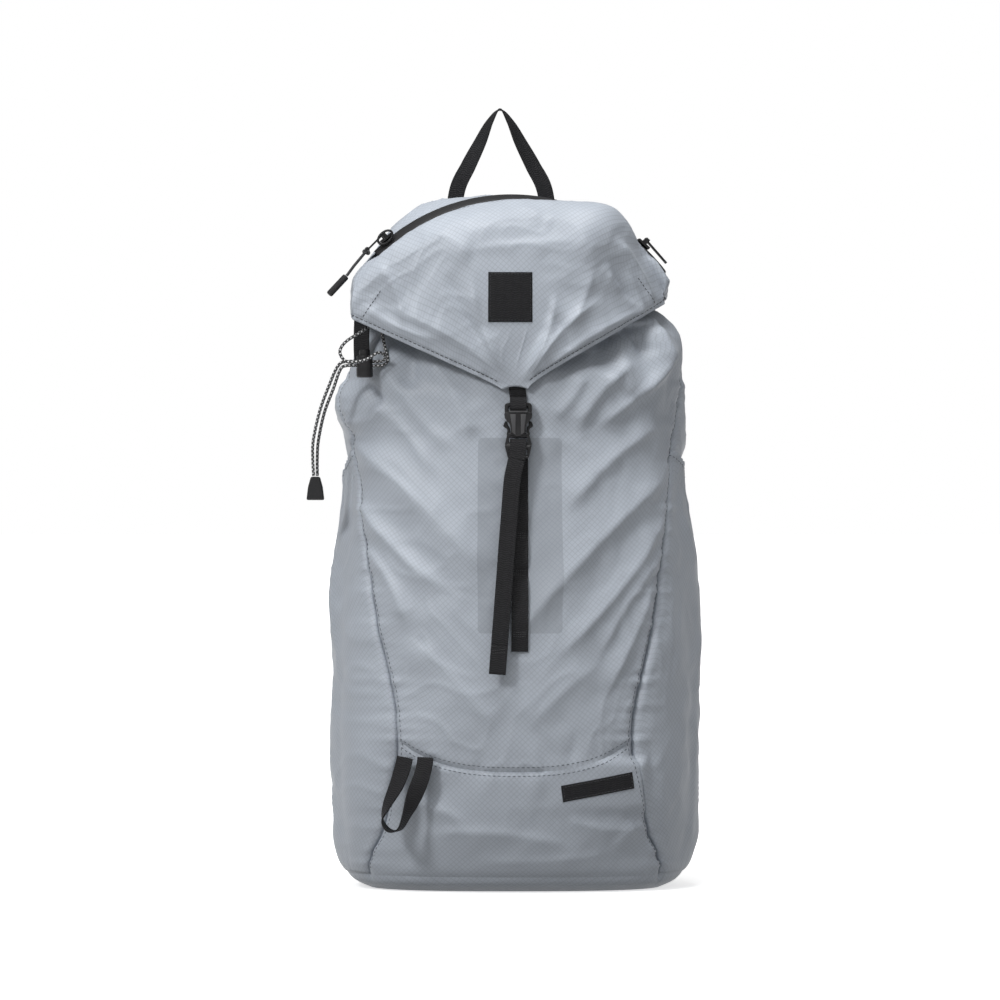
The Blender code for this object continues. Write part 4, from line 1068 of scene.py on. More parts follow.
def pocket_top(angle):
    """Height of the pocket's sloping hem at an angle."""
    start = front_seam(POCKET_TOP)
    across = np.clip((np.abs(angle) - start) / (BACK_SEAM - start), 0, 1)
    return POCKET_TOP + 4 - 30 * across - 3.5 * np.sin(math.pi * across)


def pocket_out(across, share):
    """How far the pocket stands off the body, with its hem and gathers."""
    bow = np.sin(math.pi * np.clip(across, 0, 1)) ** 0.8 * np.sin(math.pi * np.minimum(share * 1.2, 1) * 0.5)
    hem = smooth((share - 0.955) / 0.02)
    gathers = 0.6 * np.sin(across * 95) * smooth((share - 0.86) / 0.12)
    calm = np.sin(math.pi * np.clip(across, 0, 1)) ** 0.5
    return 0.4 + 0.9 * bow * smooth((1 - share) / 0.2) + hem * 0.6 + gathers * calm


def sides(side, sign):
    def front(z):
        return sign * front_seam(z)

    def back(z):
        return sign * BACK_SEAM + 0 * z

    first, last = (front, back) if sign > 0 else (back, front)
    points, _ = panel_points(first, last, flat(BASE_TOP), flat(BODY_TOP), out=side_inset)
    cloth(f"side_cloth_{side}", points, GREY, "pack", [f"side_panel_{side}"])
    points, _ = panel_points(first, last, flat(BASE_TOP + 1), pocket_top, out=pocket_out)
    cloth(f"pocket_cloth_{side}", points, GREY, "pack", [f"side_pocket_{side}"], thick=0.9)
    hem = points[-4]
    out = unit(hem * (1, 1, 0))
    stitches(f"pocket_hem_stitches_{side}", hem + out * 0.2, out, "pack")


for side, sign in SIDES:
    sides(side, sign)

angles = np.linspace(-180, 180, 300)
base_rows = [skin(angles, np.full(300, FLOOR_GAP), -1.5)]
for z in (FLOOR_GAP, 0.7, 2, 4, 6, 8, 10, BASE_TOP):
    base_rows.append(skin(angles, np.full(300, z), body_swell(angles, np.full(300, z)) * smooth((z - 3) / 9)))
base_points = np.stack(base_rows)
# Rings that close the base, from its middle out to its edge.
shares = np.linspace(0.02, 0.98, 24)
floor_rows = [base_points[0] * (share, share, 1) + (0, 4 * (1 - share), 0) for share in shares]
floor_points = np.concatenate([np.stack(floor_rows), base_points])
floor_points[: len(shares) + 1, :, 2] = FLOOR_GAP
cloth("base_cloth", floor_points, GREY, "pack", ["base_panel"])

angles = np.linspace(-180, 180, 321)
collar_z = even(BODY_TOP - 4, COLLAR_TOP, 2.2)
a, z = np.meshgrid(angles, collar_z)
rim = 0.9 * np.exp(-(((z - COLLAR_TOP + 3) / 3.5) ** 2))
cloth("collar_cloth", body(a, z, rim - 0.5), GREY, "pack", ["collar"], thick=0.8)


def hinge_apron():
    """Cloth from the top of the back up to the line the lid turns about, where its rear edge is sewn."""
    columns, rows = 81, 26
    foot, half_foot = 402.0, 38  # height, and degrees either side of the back's middle
    half_head = 92.0
    across = np.linspace(-1, 1, columns)
    low = body(180 - half_foot * across, np.full(columns, foot), -1.0)
    high = np.stack([half_head * across, np.full(columns, HINGE_Y), np.full(columns, HINGE_Z)], -1)
    share = np.linspace(0, 1, rows)[:, None, None]
    points = low + (high - low) * share
    x, z = points[..., 0], points[..., 2]
    full = 1.6 * creases(x, z, 30, 71) + 1.0 * waves(x, z, 22, 72)
    points[..., 1] += (full - 1.0) * np.sin(math.pi * share[..., 0])
    cloth("hinge_cloth", points[:, ::-1], GREY, "pack", thick=0.9)


hinge_apron()

patch_x, patch_z = np.meshgrid(np.linspace(-28, 36, 28), np.linspace(198, 345, 60))
cloth("stiffener", body_at(patch_x, patch_z, -3.0), LINING, "pack", ["reinforcement_patch"])


# ---------------------------------------------------------------- seams of the body
def seam_row(name, angle, z, out=0.0, mat=THREAD_GREY):
    path = body(angle, z, out)
    stitches(name, path, cloth_normals(body, angle, z), "pack", mat)


z = np.linspace(BASE_TOP + 4, BODY_TOP, 260)
for side, sign in SIDES:
    seam_row(f"front_seam_stitches_{side}", sign * (front_seam(z) - 2.4), z)
    seam_row(f"back_seam_stitches_{side}", sign * (BACK_SEAM - 2.4) + 0 * z, z)
edge = float(front_seam(cross_seam(37)))
angle = np.linspace(-edge + 1.5, edge - 1.5, 160)
seam_row("cross_seam_stitches", angle, cross_seam(angle) + 3.4)
seam_row("cross_seam_stitches_low", angle, cross_seam(angle) - 3.2)

# ---------------------------------------------------------------- lid
phi_front = even(LID_LEFT, LID_RIGHT, 0.85, 0.35)


def in_zip(phi):
    """1 between the ends of the zip, 0 beyond them."""
    return smooth((ZIP_LEFT + 10 - phi) / 8) * smooth((phi - ZIP_RIGHT + 10) / 8)


def lid_panel(name, start, end, count, node, front):
    """Lid panel; the edge along the zip closes up beyond the zip's ends."""
    phi, share = np.meshgrid(phi_front, even(0, 1, 1 / count, 0.3))
    shut_low, shut_high = 0.5498, 0.5502  # edges of the two panels where they are sewn together
    low = start if front else shut_high + (ZIP_REAR_AT - shut_high) * in_zip(phi)
    high = shut_low + (ZIP_FRONT_AT - shut_low) * in_zip(phi) if front else end
    place = low + (high - low) * share
    turned_in = 1.3 * smooth(1 - np.abs(place - ZIP_AT) / 0.028) * in_zip(phi)
    return cloth(name, lid_cloth(phi, place, -turned_in), GREY, "lid", [node], thick=0.9)


lid_panel("lid_front_cloth", 0.0, ZIP_AT, 86, "lid_front_panel", True)
lid_panel("lid_rear_cloth", ZIP_AT, 1.0, 80, "lid_rear_panel", False)


def zipper():
    """Coated tape in two halves that meet over the hidden coil."""
    phi = even(ZIP_LEFT + 5, ZIP_RIGHT - 5, 0.8, 0.1)
    across = [(-1, -0.6), (-0.93, 0.3), (-0.75, 0.7), (-0.5, 0.85), (-0.25, 1.0), (-0.08, 0.85), (0, -0.25)]
    across = across + [(-u, v) for u, v in across[-2::-1]]
    rows = []
    for u, out in across:
        place = np.full(phi.shape, ZIP_AT + u * (ZIP_REAR_AT - ZIP_AT + 0.0015))
        rows.append(lid(phi, place, out - 0.2 - zip_dip(phi, place)))
    cloth("zipper_band", np.stack(rows), ZIP_COAT, "lid", ["zipper_tape"], thick=0.8)
    for name, place in (("front", 0.5225), ("rear", 0.5775)):
        line = np.linspace(ZIP_LEFT + 6, ZIP_RIGHT - 6, 300)
        spot = np.full(line.shape, place)
        normals = unit(lid(line, spot, 1.0) - lid(line, spot))
        stitches(f"zipper_stitches_{name}", lid_cloth(line, spot, 0.1), normals, "lid")


zipper()

inner_phi, inner_share = np.meshgrid(even(LID_LEFT - 12, LID_RIGHT + 12, 2.4), np.linspace(0.13, 0.90, 64))
drop = 4 + 14 * np.sin(math.pi * (inner_share - 0.13) / 0.77)
inner = lid(inner_phi, inner_share, -drop)
inner[..., 1] += 5 * (1 - smooth((inner_share - 0.3) / 0.4)) - 8 * smooth((inner_share - 0.6) / 0.25)
sag = 1.2 * waves(inner[..., 0], inner[..., 1], 45, 61) + 0.8 * creases(inner[..., 0], inner[..., 1], 40, 62)
inner[..., 2] += sag * np.sin(math.pi * (inner_share - 0.13) / 0.77)
cloth("lid_inner_cloth", inner, LINING, "lid", ["lid_lining"], thick=0.8)


def lid_edge_stitches(name, phi_edge, way):
    """Stitches along one edge of the lid's hem."""
    r = np.linspace(12, 146, 220)
    place = np.interp(r, [key[2] for key in LID_KEYS[:9]], [key[0] for key in LID_KEYS[:9]])
    phi = phi_edge + way * np.degrees(np.arcsin(np.clip(3.0 / r, 0, 1)))
    normals = cloth_normals(lambda p, q: lid_cloth(p, q / 300), phi, place * 300)
    path = lid_cloth(phi, place, 0.2)
    stitches(name, path, -normals * np.sign(normals[:, 1:2]), "lid", THREAD_DARK, 3.2, 0.6)


lid_edge_stitches("lid_hem_stitches_left", LID_LEFT, -1)
lid_edge_stitches("lid_hem_stitches_right", LID_RIGHT, 1)


def dart(name, start, end):
    """Short dart seam taken in the lid's corner."""
    share = np.linspace(0, 1, 40)
    x = start[0] + (end[0] - start[0]) * share
    z = start[1] + (end[1] - start[1]) * share
    path = lid_at(x, z, 0.3)
    stitches(name, path, np.tile((0.0, -1.0, 0.35), (40, 1)), "lid", THREAD_DARK, 2.2, 1.0, 0.28)


dart("dart_left", (-119, 437), (-104, 458))
dart("dart_right", (92, 468), (107, 448))


def label(name, place, corners, rider, node):
    """Blank woven label with a sewn border, laid on cloth by place(x, z, out)."""
    (ax, az), (bx, bz), (cx, cz), (dx, dz) = corners
    width = math.hypot(bx - ax, bz - az)
    height = math.hypot(dx - ax, dz - az)

    def spots(u, v):
        x = (ax + (bx - ax) * u) * (1 - v) + (dx + (cx - dx) * u) * v
        z = (az + (bz - az) * u) * (1 - v) + (dz + (cz - dz) * u) * v
        return x, z

    u, v = np.meshgrid(np.linspace(0, 1, 26), np.linspace(0, 1, 22))
    rim = np.minimum(np.minimum(u, 1 - u) * width, np.minimum(v, 1 - v) * height)
    out = 0.5 + 0.5 * smooth(rim / 1.0)
    cloth(name, place(*spots(u, v), out), LABEL, rider, [node], thick=0.5)
    inset_u, inset_v = 1.5 / width, 1.5 / height
    loop = [(inset_u, inset_v), (1 - inset_u, inset_v), (1 - inset_u, 1 - inset_v), (inset_u, 1 - inset_v)]
    for number, ((u0, v0), (u1, v1)) in enumerate(zip(loop, loop[1:] + loop[:1])):
        path = place(*spots(np.linspace(u0, u1, 30), np.linspace(v0, v1, 30)), 1.15)
        out = np.tile((0.0, -1.0, 0.1), (30, 1))
        stitches(f"{name}_stitches_{number}", path, out, rider, THREAD_DARK, 1.7, 0.8, 0.2)


label("lid_label", lid_at, [(-20.5, 432.8), (13, 432.8), (13, 470.6), (-20.5, 470.6)], "lid", "label_patch")
label("foot_label", body_at, [(36, 70), (90.5, 80), (89, 92.5), (34.5, 82.5)], "pack", "hem_label")

# ---------------------------------------------------------------- webbing
LEVEL_WAY = (1, 0, 0)
# Middle of the webbing, and how far it has turned to run edge on, in degrees.
LOOP_ROUTE = [
    (-49.5, 85.5, 459.2, 0),
    (-49.5, 90.4, 463.5, 0),
    (-49.5, 92.2, 482, 0),
    (-49, 93.4, 510, 0),
    (-45.5, 94.6, 543, 4),
    (-36.5, 95, 563, 18),
    (-27.5, 95, 581, 38),
    (-19.5, 95, 598, 64),
    (-11.5, 95, 607.5, 90),
    (-3.5, 95, 598, 116),
    (5, 95, 581, 142),
    (14.5, 95, 563, 162),
    (24, 94.6, 543, 176),
    (27.5, 93.4, 510, 180),
    (28, 92.2, 482, 180),
    (28, 90.4, 463.5, 180),
    (28, 85.5, 459.2, 180),
]
stations = []
for x, y, z, turn in LOOP_ROUTE:
    turn = math.radians(turn)
    stations.append(((x, y, z), (math.cos(turn), -math.sin(turn), 0)))
webbing("haul_strap", stations, "haul_loop", ["haul_loop"])

DAISY_X = 3.4
TACKS = [303.7, 271.6, 243.3, 197.0]


def on_front(x, z, out):
    """Point stood off the draped front at one x and z."""
    return np.array(body_at(x, z, out)).ravel()


def box_tack(name, middle, across, normal, rider, width=WEB_WIDTH, height=3.2, rows=3, mat=THREAD_DARK):
    """Dense rows of stitches across webbing."""
    middle, across, normal = np.asarray(middle, float), unit(across), unit(normal)
    up = np.cross(normal, across)
    for number in range(rows):
        level_at = middle + up * height * (number / max(rows - 1, 1) - 0.5)
        ends = np.stack([level_at - across * width * 0.42, level_at + across * width * 0.42])
        path = np.stack([np.interp(np.linspace(0, 1, 12), [0, 1], ends[:, i]) for i in range(3)], -1)
        stitches(f"{name}_{number}", path, np.tile(normal, (12, 1)), rider, mat, 1.3, 0.35, 0.24)


def daisy_strap():
    stations = [(on_front(DAISY_X, 184, 1.2), LEVEL_WAY)]
    for low, high in zip(TACKS[::-1], TACKS[-2::-1]):
        for share, out in ((0, 1.1), (0.25, 2.7), (0.5, 3.3), (0.75, 2.7)):
            z = low + (high - low) * share
            stations.append((on_front(DAISY_X, z, out), LEVEL_WAY))
    for z in (TACKS[0], 318, 332):
        stations.append((on_front(DAISY_X, z, 1.3), LEVEL_WAY))
    webbing("daisy_strap", stations, "pack", ["daisy_chain"])
    for number, z in enumerate(TACKS):
        spot = on_front(DAISY_X, z, 1.9)
        box_tack(f"daisy_tack_{number}", spot, LEVEL_WAY, (0, -1, 0.05), "pack")


daisy_strap()


def gear_strap():
    route = [
        (-82.5, 104, 1.6, 0),
        (-84.5, 94, 3.4, 0),
        (-88, 82, 6.5, 15),
        (-94, 68, 9.5, 45),
        (-97, 57, 10.5, 75),
        (-92, 49, 10.8, 90),
        (-84, 50, 10.8, 90),
        (-79, 60, 10.5, 105),
        (-74, 74, 8.5, 140),
        (-69.5, 88, 5, 170),
        (-67.5, 98, 2.6, 180),
        (-67, 104, 1.6, 180),
    ]
    level_way = plain_front(-66, 100) - plain_front(-84, 100)
    level_way = unit(level_way)
    outward = np.cross(level_way, (0, 0, 1))
    hang = plain_front(-75, 104) + outward
    stations = []
    for x, z, out, turn in route:
        turn = math.radians(turn)
        point = hang + level_way * (x + 75) / level_way[0] + outward * out
        point[2] = z
        stations.append((point, level_way * math.cos(turn) + outward * math.sin(turn)))
    webbing("gear_strap", stations, "gear_loop", ["gear_loop"])
    for number, x in enumerate((-82.5, -67)):
        box_tack(f"gear_tack_{number}", on_front(x, 102.5, 2.6), level_way, outward, "gear_loop", 11, 2.4, 2)


def plain_front(x, z):
    """Point of the plain skin's front at one x and z."""
    low, high = -89.0, 89.0
    for _ in range(30):
        middle = (low + high) / 2
        if skin(middle, z)[0] < x:
            low = middle
        else:
            high = middle
    return skin(low, z)


gear_strap()

BUCKLE_X, BUCKLE_Y, BUCKLE_TILT = 2.3, -95.0, math.radians(-7)
BUCKLE_FRAME = at(BUCKLE_X, BUCKLE_Y, 350) @ Matrix.Rotation(BUCKLE_TILT, 4, "X") @ at(0, 0, -350)


def strap_at(y, z, x=0.0):
    """Webbing station in the buckle's own frame."""
    return (np.array(BUCKLE_FRAME @ (Vector((x, y, z)) * MM)) / MM, LEVEL_WAY)


# Webbing round the socket's bar, and round the plug's: (y, z) in the buckle's own frame.
LID_WEB = ((3.4, 376.0), (3.1, 373.0), (3.0, 369.0), (1.8, 366.6), (0, 366.1))
LID_WEB += ((-3.8, 366.3), (-5.1, 367.6), (-5.1, 370.5), (-4.6, 373.2), (-2.0, 375.6))
PLUG_WEB = ((4.6, 337.6), (4.7, 341.0), (3.4, 343.6), (0, 343.9), (-3.6, 343.2), (-4.6, 340.0))
stations = [(spot, LEVEL_WAY) for spot in ((1.2, -87.6, 397), (1.4, -87.8, 388), (1.7, -88.2, 381.5))]
stations += [strap_at(y, z) for y, z in LID_WEB]
webbing("lid_web", stations, "lid", ["lid_strap"], step=0.8)
stations = [strap_at(y, z) for y, z in PLUG_WEB] + [strap_at(-4.7, 334.0, -0.5), strap_at(-4.9, 328.0, -1.3)]
webbing("plug_web", stations, "plug", ["plug_webbing"], step=0.8)


def tail_strap():
    """Free end of the closure webbing, folded over and sewn at its foot."""
    stations = [strap_at(-4.9, 327.9, -1.4)]
    way = (1, 0, 0.08)
    hang = [(-2.2, -105.0, 314), (-4.2, -107.2, 290), (-6.4, -109.4, 262), (-8.6, -111.2, 232)]
    hang += [(-10.9, -112.4, 202), (-12.6, -112.8, 180), (-13.6, -112.8, 167)]
    stations += [(spot, way) for spot in hang]
    webbing("tail_web", stations, "strap_tail", ["closure_strap_tail"])
    folded = [(-13.55, -114.2, 167.4), (-12.6, -114.3, 180), (-11.9, -114.1, 188.5)]
    webbing("tail_fold", [(spot, way) for spot in folded], "strap_tail")
    box_tack("tail_tack", (-12.2, -115.0, 184.5), way, (0, -1, 0), "strap_tail", rows=2, height=2.2)


tail_strap()

stations = []
for z, out in ((404, 1.2), (415, 1.5), (427, 2.4), (438, 3.0)):
    across = skin(106, z) - skin(98, z)
    stations.append((body(102, z, out).ravel(), across.ravel()))
webbing("anchor_web_right", stations, "pack", ["lid_anchor_strap_right"])
ANCHOR_LEFT = [(-116.8, -46.6, 403.5), (-117.4, -47.4, 413), (-117.4, -47.4, 424), (-117.0, -46.6, 438)]
stations = [(middle, (0.95, -0.32, 0)) for middle in ANCHOR_LEFT]
webbing("anchor_web_left", stations, "pack", ["lid_anchor_strap_left"])

for side, sign in SIDES:
    stations = [
        ((sign * 117.2, 63.0, 36), (0.4, 0, 1)),
        ((sign * 120.2, 70.0, 41), (0.2, 0, 1)),
        ((sign * 120.0, 77.0, 46), (0.1, 0, 1)),
    ]
    webbing(f"base_tab_web_{side}", stations, "pack", [f"base_tab_{side}"], width=18)

# ---------------------------------------------------------------- back pad and shoulder straps


def pad_shape(name, stations, mat, rider, nodes, quilt, sides=44):
    """Padded strip through stations of (x, y, z, width, thickness), crowned, with sewn channels.

    quilt(u, v) gives how deep the pad is drawn in at a place across (-1 to 1) and along (0 to 1).
    Returns the lines of the two edges, by sign, and the middle, the directions and the thickness.
    """
    path = along_curve(stations, 2.6)
    middle, width, thick = path[:, :3], path[:, 3], path[:, 4]
    tangent = unit(np.gradient(middle, axis=0))
    lean = 0.06 * np.sign(stations[0][0])
    across = unit(np.tile((1.0, lean, 0.0), (len(path), 1)))
    across = square_to(across, tangent)
    normal = np.cross(across, tangent)
    share = np.linspace(0, 1, len(path))
    run = run_along(middle)
    points, uvs = [], []
    ring = np.linspace(0, 2 * math.pi, sides + 1)
    for angle in ring:
        c, s = math.cos(angle), math.sin(angle)
        u = np.sign(c) * abs(c) ** 0.55
        v = np.sign(s) * abs(s) ** 0.75
        drawn = quilt(u, share) * abs(v)
        cap = np.minimum(smooth(share / 0.02), smooth((1 - share) / 0.02)) * 0.35 + 0.65
        height = np.maximum(thick / 2 - drawn, 0.8) * cap
        points.append(middle + across * (u * width / 2 * cap)[:, None] + normal * (v * height)[:, None])
        uvs.append(np.stack([u * width / 2 + (60 if s < 0 else 0), run], -1) * MM)
    loft(name, points, uvs, mat, rider, nodes)
    edges = {sign: middle + across * (sign * (width / 2 - 0.4))[:, None] for sign in (-1, 1)}
    return edges, middle, across, normal, thick


def binding(name, line, rider, across):
    """Folded grosgrain tape that wraps a pad's edge."""
    up = np.cross(across, unit(np.gradient(line, axis=0)))
    stations = list(zip(line[1:-1:3], up[1:-1:3]))
    webbing(name, stations, rider, width=4.2, thick=1.6, mat=BINDING)


BACK_STATIONS = [
    (0, 93.4, 34, 168, 7),
    (0, 94.6, 42, 184, 11),
    (0, 95.2, 90, 192, 14),
    (0, 95.2, 200, 184, 14),
    (0, 95.2, 300, 172, 14),
    (0, 94.8, 370, 160, 13),
    (0, 93.4, 392, 148, 10),
    (0, 91.6, 398, 136, 6),
]


def channel(value, places, width):
    """1 in grooves at these places, 0 between them."""
    total = 0.0
    for place in places:
        total = np.maximum(total, np.exp(-(((value - place) / width) ** 2)))
    return total


def back_quilt(u, v):
    """Sewn channels of the back cushion: two upright, four level, and its thin rim."""
    upright = channel(u, (-0.36, 0.36), 0.05) * smooth((v - 0.06) / 0.05) * smooth((0.94 - v) / 0.05)
    level = channel(v, (0.22, 0.40, 0.58, 0.76), 0.012) * (1 - smooth((abs(u) - 0.9) / 0.08))
    edge = smooth((abs(u) - 0.9) / 0.08)
    return 3.4 * np.maximum(upright, level) + 2.5 * edge


edges, *_ = pad_shape(
    "back_cushion", BACK_STATIONS, MESH, "pack", ["back_pad"], back_quilt, sides=96
)
for side, sign in SIDES:
    binding(f"back_binding_{side}", edges[sign], "pack", np.tile((1.0, 0, 0), (len(edges[sign]), 1)))

STRAP = [
    (38, 83.5, 440, 50, 5),
    (39, 92, 434, 54, 7),
    (43, 106, 420, 59, 10),
    (51, 119, 394, 62, 11),
    (59, 127, 362, 62, 11),
    (67, 131.5, 322, 62, 11),
    (74, 130.9, 282, 60, 9.2),
    (80.5, 127.4, 242, 56, 8.8),
    (85.5, 122, 206, 48, 9.5),
    (88.5, 116.5, 178, 34, 7),
]


def strap_quilt(u, v):
    """Sewn channels of a shoulder strap: three level, and its thin rim."""
    return 1.8 * smooth((abs(u) - 0.82) / 0.12) + 0.5 * channel(v, (0.2, 0.5, 0.8), 0.01)


def harness(side, sign):
    """One shoulder strap with its webbing, from the top of the back down to the base."""
    stations = [(sign * x, *rest) for x, *rest in STRAP]
    rider = f"shoulder_{side}"
    edges, middle, across, normal, thick = pad_shape(
        f"shoulder_pad_{side}", stations, MESH, rider, [f"shoulder_strap_{side}"], strap_quilt
    )
    for edge_sign, edge_side in ((1, "outer"), (-1, "inner")):
        binding(f"strap_binding_{side}_{edge_side}", edges[edge_sign * sign], rider, across)
    # Webbing sewn down the middle of the strap's outer face, which the sternum slider rides.
    outer = normal if normal[len(normal) // 2, 1] > 0 else -normal
    line = middle + outer * (thick / 2 + 0.1)[:, None]
    picked = range(12, len(line) - 3, 4)
    webbing(f"strap_web_{side}", [(line[i], across[i]) for i in picked], rider, thick=0.9)
    lean = Matrix.Rotation(math.radians(-11), 4, "X") @ Matrix.Rotation(math.radians(-sign * 6), 4, "Y")
    place = at(sign * 90.2, 112.5, 164.5) @ lean
    # The tail and the pad's end each loop round a bar of the adjuster: (y, z) from its middle.
    tail = ((-3.6, -2), (-2.6, -5.0), (0, -5.9), (3.6, -5.4), (5.4, -9), (5.8, -20), (5.6, -50), (5.2, -88))
    loop = ((2.0, 20), (3.4, 12), (3.3, 8.6), (1.6, 5.2), (-1.6, 5.2), (-3.3, 8.6), (-2.4, 12), (0.6, 20))
    tail, loop = (
        [(np.array(place @ (Vector((0, y, z)) * MM)) / MM, LEVEL_WAY) for y, z in row] for row in (tail, loop)
    )
    webbing(f"tail_web_{side}", tail, rider, [f"webbing_tail_{side}"], step=1.0)
    lower = ((91.5, 107.5, 150.0), (96, 103.5, 128), (104, 96.5, 98), (112, 88.5, 70), (117, 82.5, 52))
    lower = [((sign * x, y, z), (1, -sign * 0.55, 0)) for x, y, z in lower]
    made = webbing(f"lower_web_{side}", lower, None, [f"lower_webbing_{side}"])
    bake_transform(made)
    webbing(f"adjuster_loop_{side}", loop, rider, thick=1.0, step=1.0)
    hang = ((140.9, 338), (141.5, 330), (141.7, 315), (141.3, 296), (141.1, 288))
    hang = [((sign * 62.5, y, z), LEVEL_WAY) for y, z in hang]
    webbing(f"chest_web_{side}", hang, f"chest_{side}", [f"sternum_webbing_{side}"])


for side, sign in SIDES:
    harness(side, sign)


# ---------------------------------------------------------------- buckle
def mirrored(half):
    """Closed outline from its right half, top to bottom."""
    return [*half, *[(-x, z) for x, z in reversed(half) if x > 0]]


def moulded(name, build, corner, rider, nodes=(), mat=PLASTIC):
    """Plastic piece of the front buckle, its edges rounded by corner."""
    settle(solid(name, build, mat, BUCKLE_FRAME, corner), rider, nodes)


def buckle_female():
    """Waisted front shell of the side-release buckle with a blunt V foot and a ridge on each side."""
    front = [(10.2, 364.4), (10.5, 362.2), (10.0, 359.8), (8.4, 357.4)]
    front = mirrored([*front, (6.6, 355.2), (5.9, 352.8), (5.8, 349.0), (1.6, 345.6)])
    moulded("socket_shell", outline_plate(front, -4.4, -1.6), 0.7, "lid", ["buckle_female"])
    rear = mirrored([(10.2, 364.2), (10.4, 361.6), (8.0, 359.0)])
    moulded("socket_rear", outline_plate(rear, -1.8, 4.0), 0.6, "lid")
    bar = frame_plate(rounded(20.6, 8.4, 2.6, 0, 367.4), rounded(14.4, 3.8, 0.9, 0, 367.0), -3.4, 3.2)
    moulded("socket_bar", bar, 0.6, "lid")
    lip = outline_plate(rounded(14.6, 1.3, 0.5, 0, 364.6), -5.0, -3.6)
    # The lip is painted grey as a highlight.
    moulded("socket_lip", lip, 0.35, "lid", mat=HIGHLIGHT_PLASTIC)
    # The side ridges are painted grey as a highlight.
    for side, sign in SIDES:
        ridge = ((1.8, 362.6), (6.2, 362.6), (4.9, 354.0), (4.6, 348.8), (2.0, 347.0))
        ridge = outline_plate([(sign * x, z) for x, z in ridge], -5.1, -4.2)
        moulded(f"socket_ridge_{side}", ridge, 0.35, "lid", mat=HIGHLIGHT_PLASTIC)


def buckle_prongs():
    """Sprung arms of the plug, each with a ribbed finger grip that shows in the socket's side."""
    for side, sign in SIDES:
        rider = f"prong_{side}"
        arm = [(8.9, 347.6), (8.2, 350.4), (8.6, 352.0), (10.7, 353.4), (11.0, 355.4), (10.0, 357.6)]
        arm = [*arm, (8.2, 357.8), (7.9, 355.0), (6.4, 353.0), (6.2, 349.6), (6.9, 347.6)]
        arm = outline_plate([(sign * x, z) for x, z in arm], -1.4, 1.6)
        moulded(f"plug_arm_{side}", arm, 0.4, rider, [f"buckle_prong_{side}"])
        for number, z in enumerate((354.2, 355.4, 356.6)):
            rib = rounded(0.9, 0.6, 0.25, sign * (10.95 - 0.5 * number), z)
            moulded(f"plug_rib_{side}_{number}", outline_plate(rib, -2.3, 1.9), 0.1, rider)


def ladder(name, low, high, half_low, half_high, slot_at):
    """Closed bar of the plug with one slot for the webbing; its half width runs evenly from low to high."""
    outer = []
    for x, z in rounded(2, high - low, 1.0, 0, (low + high) / 2):
        half = half_low + (half_high - half_low) * (z - low) / (high - low)
        outer.append((x + math.copysign(half - 1, x), z))
    inner = rounded(13.9, 4.0, 0.7, 0, slot_at)
    moulded(name, frame_plate(outer, inner, -2.8, 2.7), 0.6, "plug")


def buckle_male():
    """Ladder body of the plug, flared at its waist: two slots, raised bars and the guide tongue."""
    ladder("plug_upper", 339.4, 348.6, 10.3, 8.0, 343.4)
    ladder("plug_lower", 329.6, 339.4, 7.8, 10.3, 333.9)
    tongue = mirrored([(1.8, 348.5), (1.6, 359.2), (0.9, 359.9)])
    moulded("plug_guide", outline_plate(tongue, -0.7, 1.2), 0.3, "plug", ["buckle_male"])
    # The lower bar is painted grey as a highlight; the upper bar stays black.
    for number, (z, height, mat) in enumerate(((347.4, 1.4, PLASTIC), (330.5, 1.3, HIGHLIGHT_PLASTIC))):
        bar = outline_plate(rounded(14.2, height, 0.5, 0, z), -3.6, -2.4)
        moulded(f"plug_bar_{number}", bar, 0.4, "plug", mat=mat)


buckle_female()
buckle_prongs()
buckle_male()


# ---------------------------------------------------------------- hard pieces kept from the frame
def finish_hard(names, mat, width=0.3):
    """Better material and finely rounded edges on CAD nodes whose shape is right."""
    for name in names:
        node = NODES[name]
        node.data.materials.clear()
        node.data.materials.append(mat)
        if width:
            soft = node.modifiers.new("worn edges", "BEVEL")
            soft.width = width * MM
            soft.segments = 2
            soft.limit_method = "ANGLE"
            soft.angle_limit = math.radians(40)
            soft.harden_normals = False


PAIRED = ("zipper_slider", "pull_tab", "strap_adjuster", "sternum_slider", "sternum_buckle")
finish_hard([f"{name}_{side}" for name in PAIRED for side, _ in SIDES], PLASTIC)
finish_hard(["pull_tip_left", "cord_lock_body", "cord_lock_plunger", "cord_end"], PLASTIC)
finish_hard(["cord_lock_spring"], STEEL, 0)
finish_hard(["pull_cord_left"], CORD_BLACK, 0)


def left_pull_details():
    """Oval ring round the left slider's bridge, and a knot in the cord of its pull."""
    turn = np.linspace(0, 2 * math.pi, 57)[:, None]
    along, across = unit((-0.74, 0, -0.67)), unit((-0.67, 0, 0.74))
    ring = np.array((-98.8, -70.4, 498.0)) + 6.4 * np.cos(turn) * along + 4.0 * np.sin(turn) * across
    tube("slider_ring_left", ring, 1.8, PLASTIC, "slider_left", closed=True)
    knot = np.array((-113.0, -67.6, 487.6)) + 0.85 * (np.sin(turn) + 2 * np.sin(2 * turn)) * along
    knot = knot + 0.85 * (np.cos(turn) - 2 * np.cos(2 * turn)) * across
    knot = knot - 0.85 * np.sin(3 * turn) * np.array((0, 1, 0))
    tube("pull_knot_left", knot, 1.7, CORD_BLACK, "pull_left", closed=True)


left_pull_details()


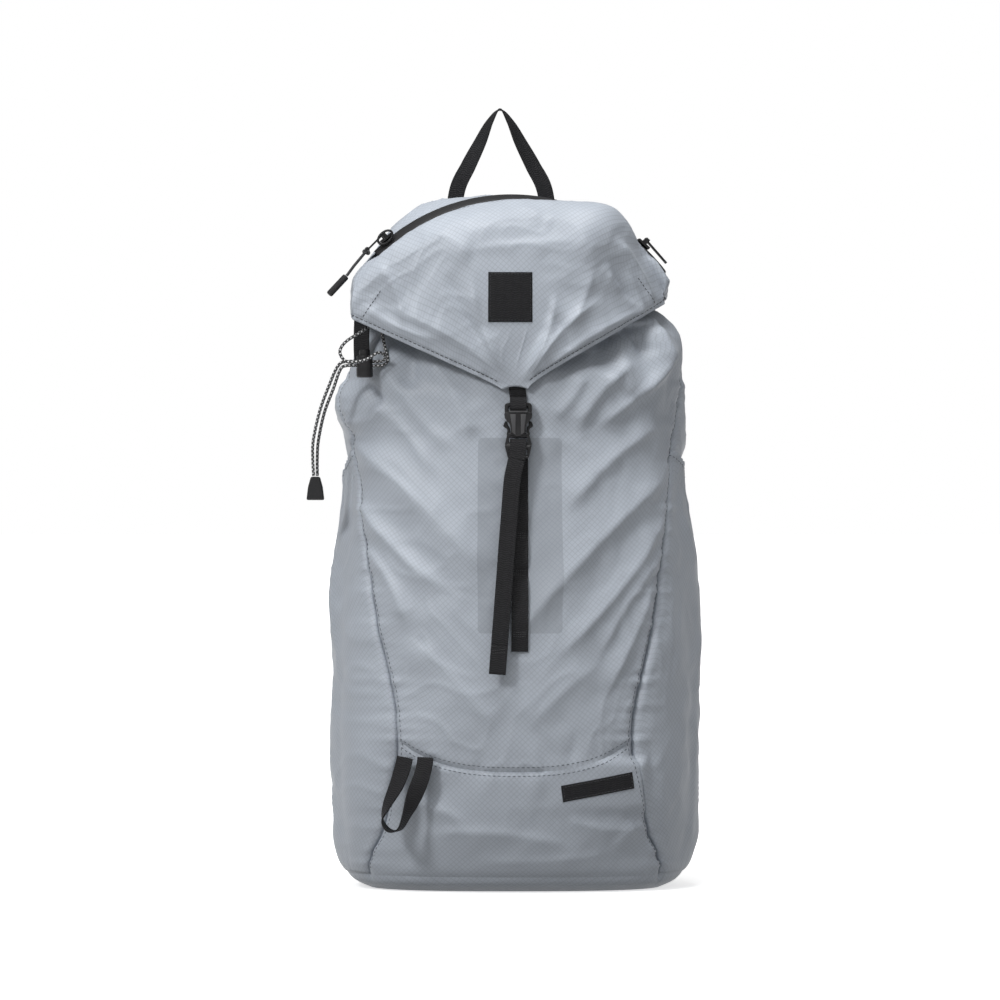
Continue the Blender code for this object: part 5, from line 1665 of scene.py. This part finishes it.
# ---------------------------------------------------------------- floor and light
def stage_floor():
    """White floor under the pack, large enough to reach the horizon."""
    mesh = bpy.data.meshes.new("floor")
    size = 40.0
    corners = [(x * size, y * size, 0) for x, y in ((-1, -1), (1, -1), (1, 1), (-1, 1))]
    mesh.from_pydata(corners, [], [(0, 1, 2, 3)])
    made, tree, shader = nodes_of("floor_white")
    # Painted light: the floor glows, dimmer near the pack so that it darkens round it, and beyond the pack it
    # glows into the white of the room.
    far = new_node(tree, "VectorMath", {0: object_place(tree)})
    far.operation = "LENGTH"
    glow = {"From Min": 0.12, "From Max": 0.9, "To Min": 0.62, "To Max": 1.0}
    glow = new_node(tree, "MapRange", {**glow, "Value": far.outputs["Value"]})
    glow.interpolation_type = "SMOOTHSTEP"
    white = {"Base Color": (0.9, 0.9, 0.9, 1), "Roughness": 0.9, "Specular IOR Level": 0.1}
    put(tree, shader, {**white, "Emission Color": (1, 1, 1, 1), "Emission Strength": glow.outputs[0]})
    mesh.materials.append(made)
    floor = placed("floor", mesh)
    floor.location = (0, 0, -0.0002)
    floor.visible_diffuse = False


def area_light(name, place, target, size, watts):
    """Soft rectangular lamp that faces a target."""
    data = bpy.data.lights.new(name, "AREA")
    data.shape = "RECTANGLE"
    data.size, data.size_y = size
    data.energy = watts
    light = placed(name, data)
    light.location = place
    light.rotation_euler = (Vector(target) - Vector(place)).to_track_quat("-Z", "Y").to_euler()


def studio():
    """White seamless room: the camera sees pure white, and the light falls mostly from the upper left."""
    world = bpy.data.worlds.new("studio")
    world.use_nodes = True
    tree = world.node_tree
    way = new_node(tree, "TexCoord", {}).outputs["Generated"]
    toward = new_node(tree, "VectorMath", {0: way, 1: Vector((-0.1, -0.5, 0.8)).normalized()})
    toward.operation = "DOT_PRODUCT"
    sky = {"From Min": -1.0, "To Min": 0.04, "To Max": 0.5, "Value": toward.outputs["Value"]}
    sky = new_node(tree, "MapRange", sky).outputs[0]
    seen = new_node(tree, "LightPath", {}).outputs["Is Camera Ray"]
    strength = maths(tree, "MAXIMUM", sky, seen)
    put(tree, tree.nodes["Background"], {"Color": (1, 1, 1, 1), "Strength": strength})
    bpy.context.scene.world = world
    area_light("key", (-1.6, -1.9, 1.9), (0, 0, 0.35), (0.5, 0.5), 36)
    area_light("top", (-0.1, -0.6, 2.3), (0, 0, 0.45), (0.9, 0.8), 30)
    area_light("fill", (0.6, -3.0, 0.6), (0, 0, 0.25), (1.0, 1.0), 2.0)


stage_floor()
studio()
bpy.context.scene.view_settings.view_transform = "Standard"
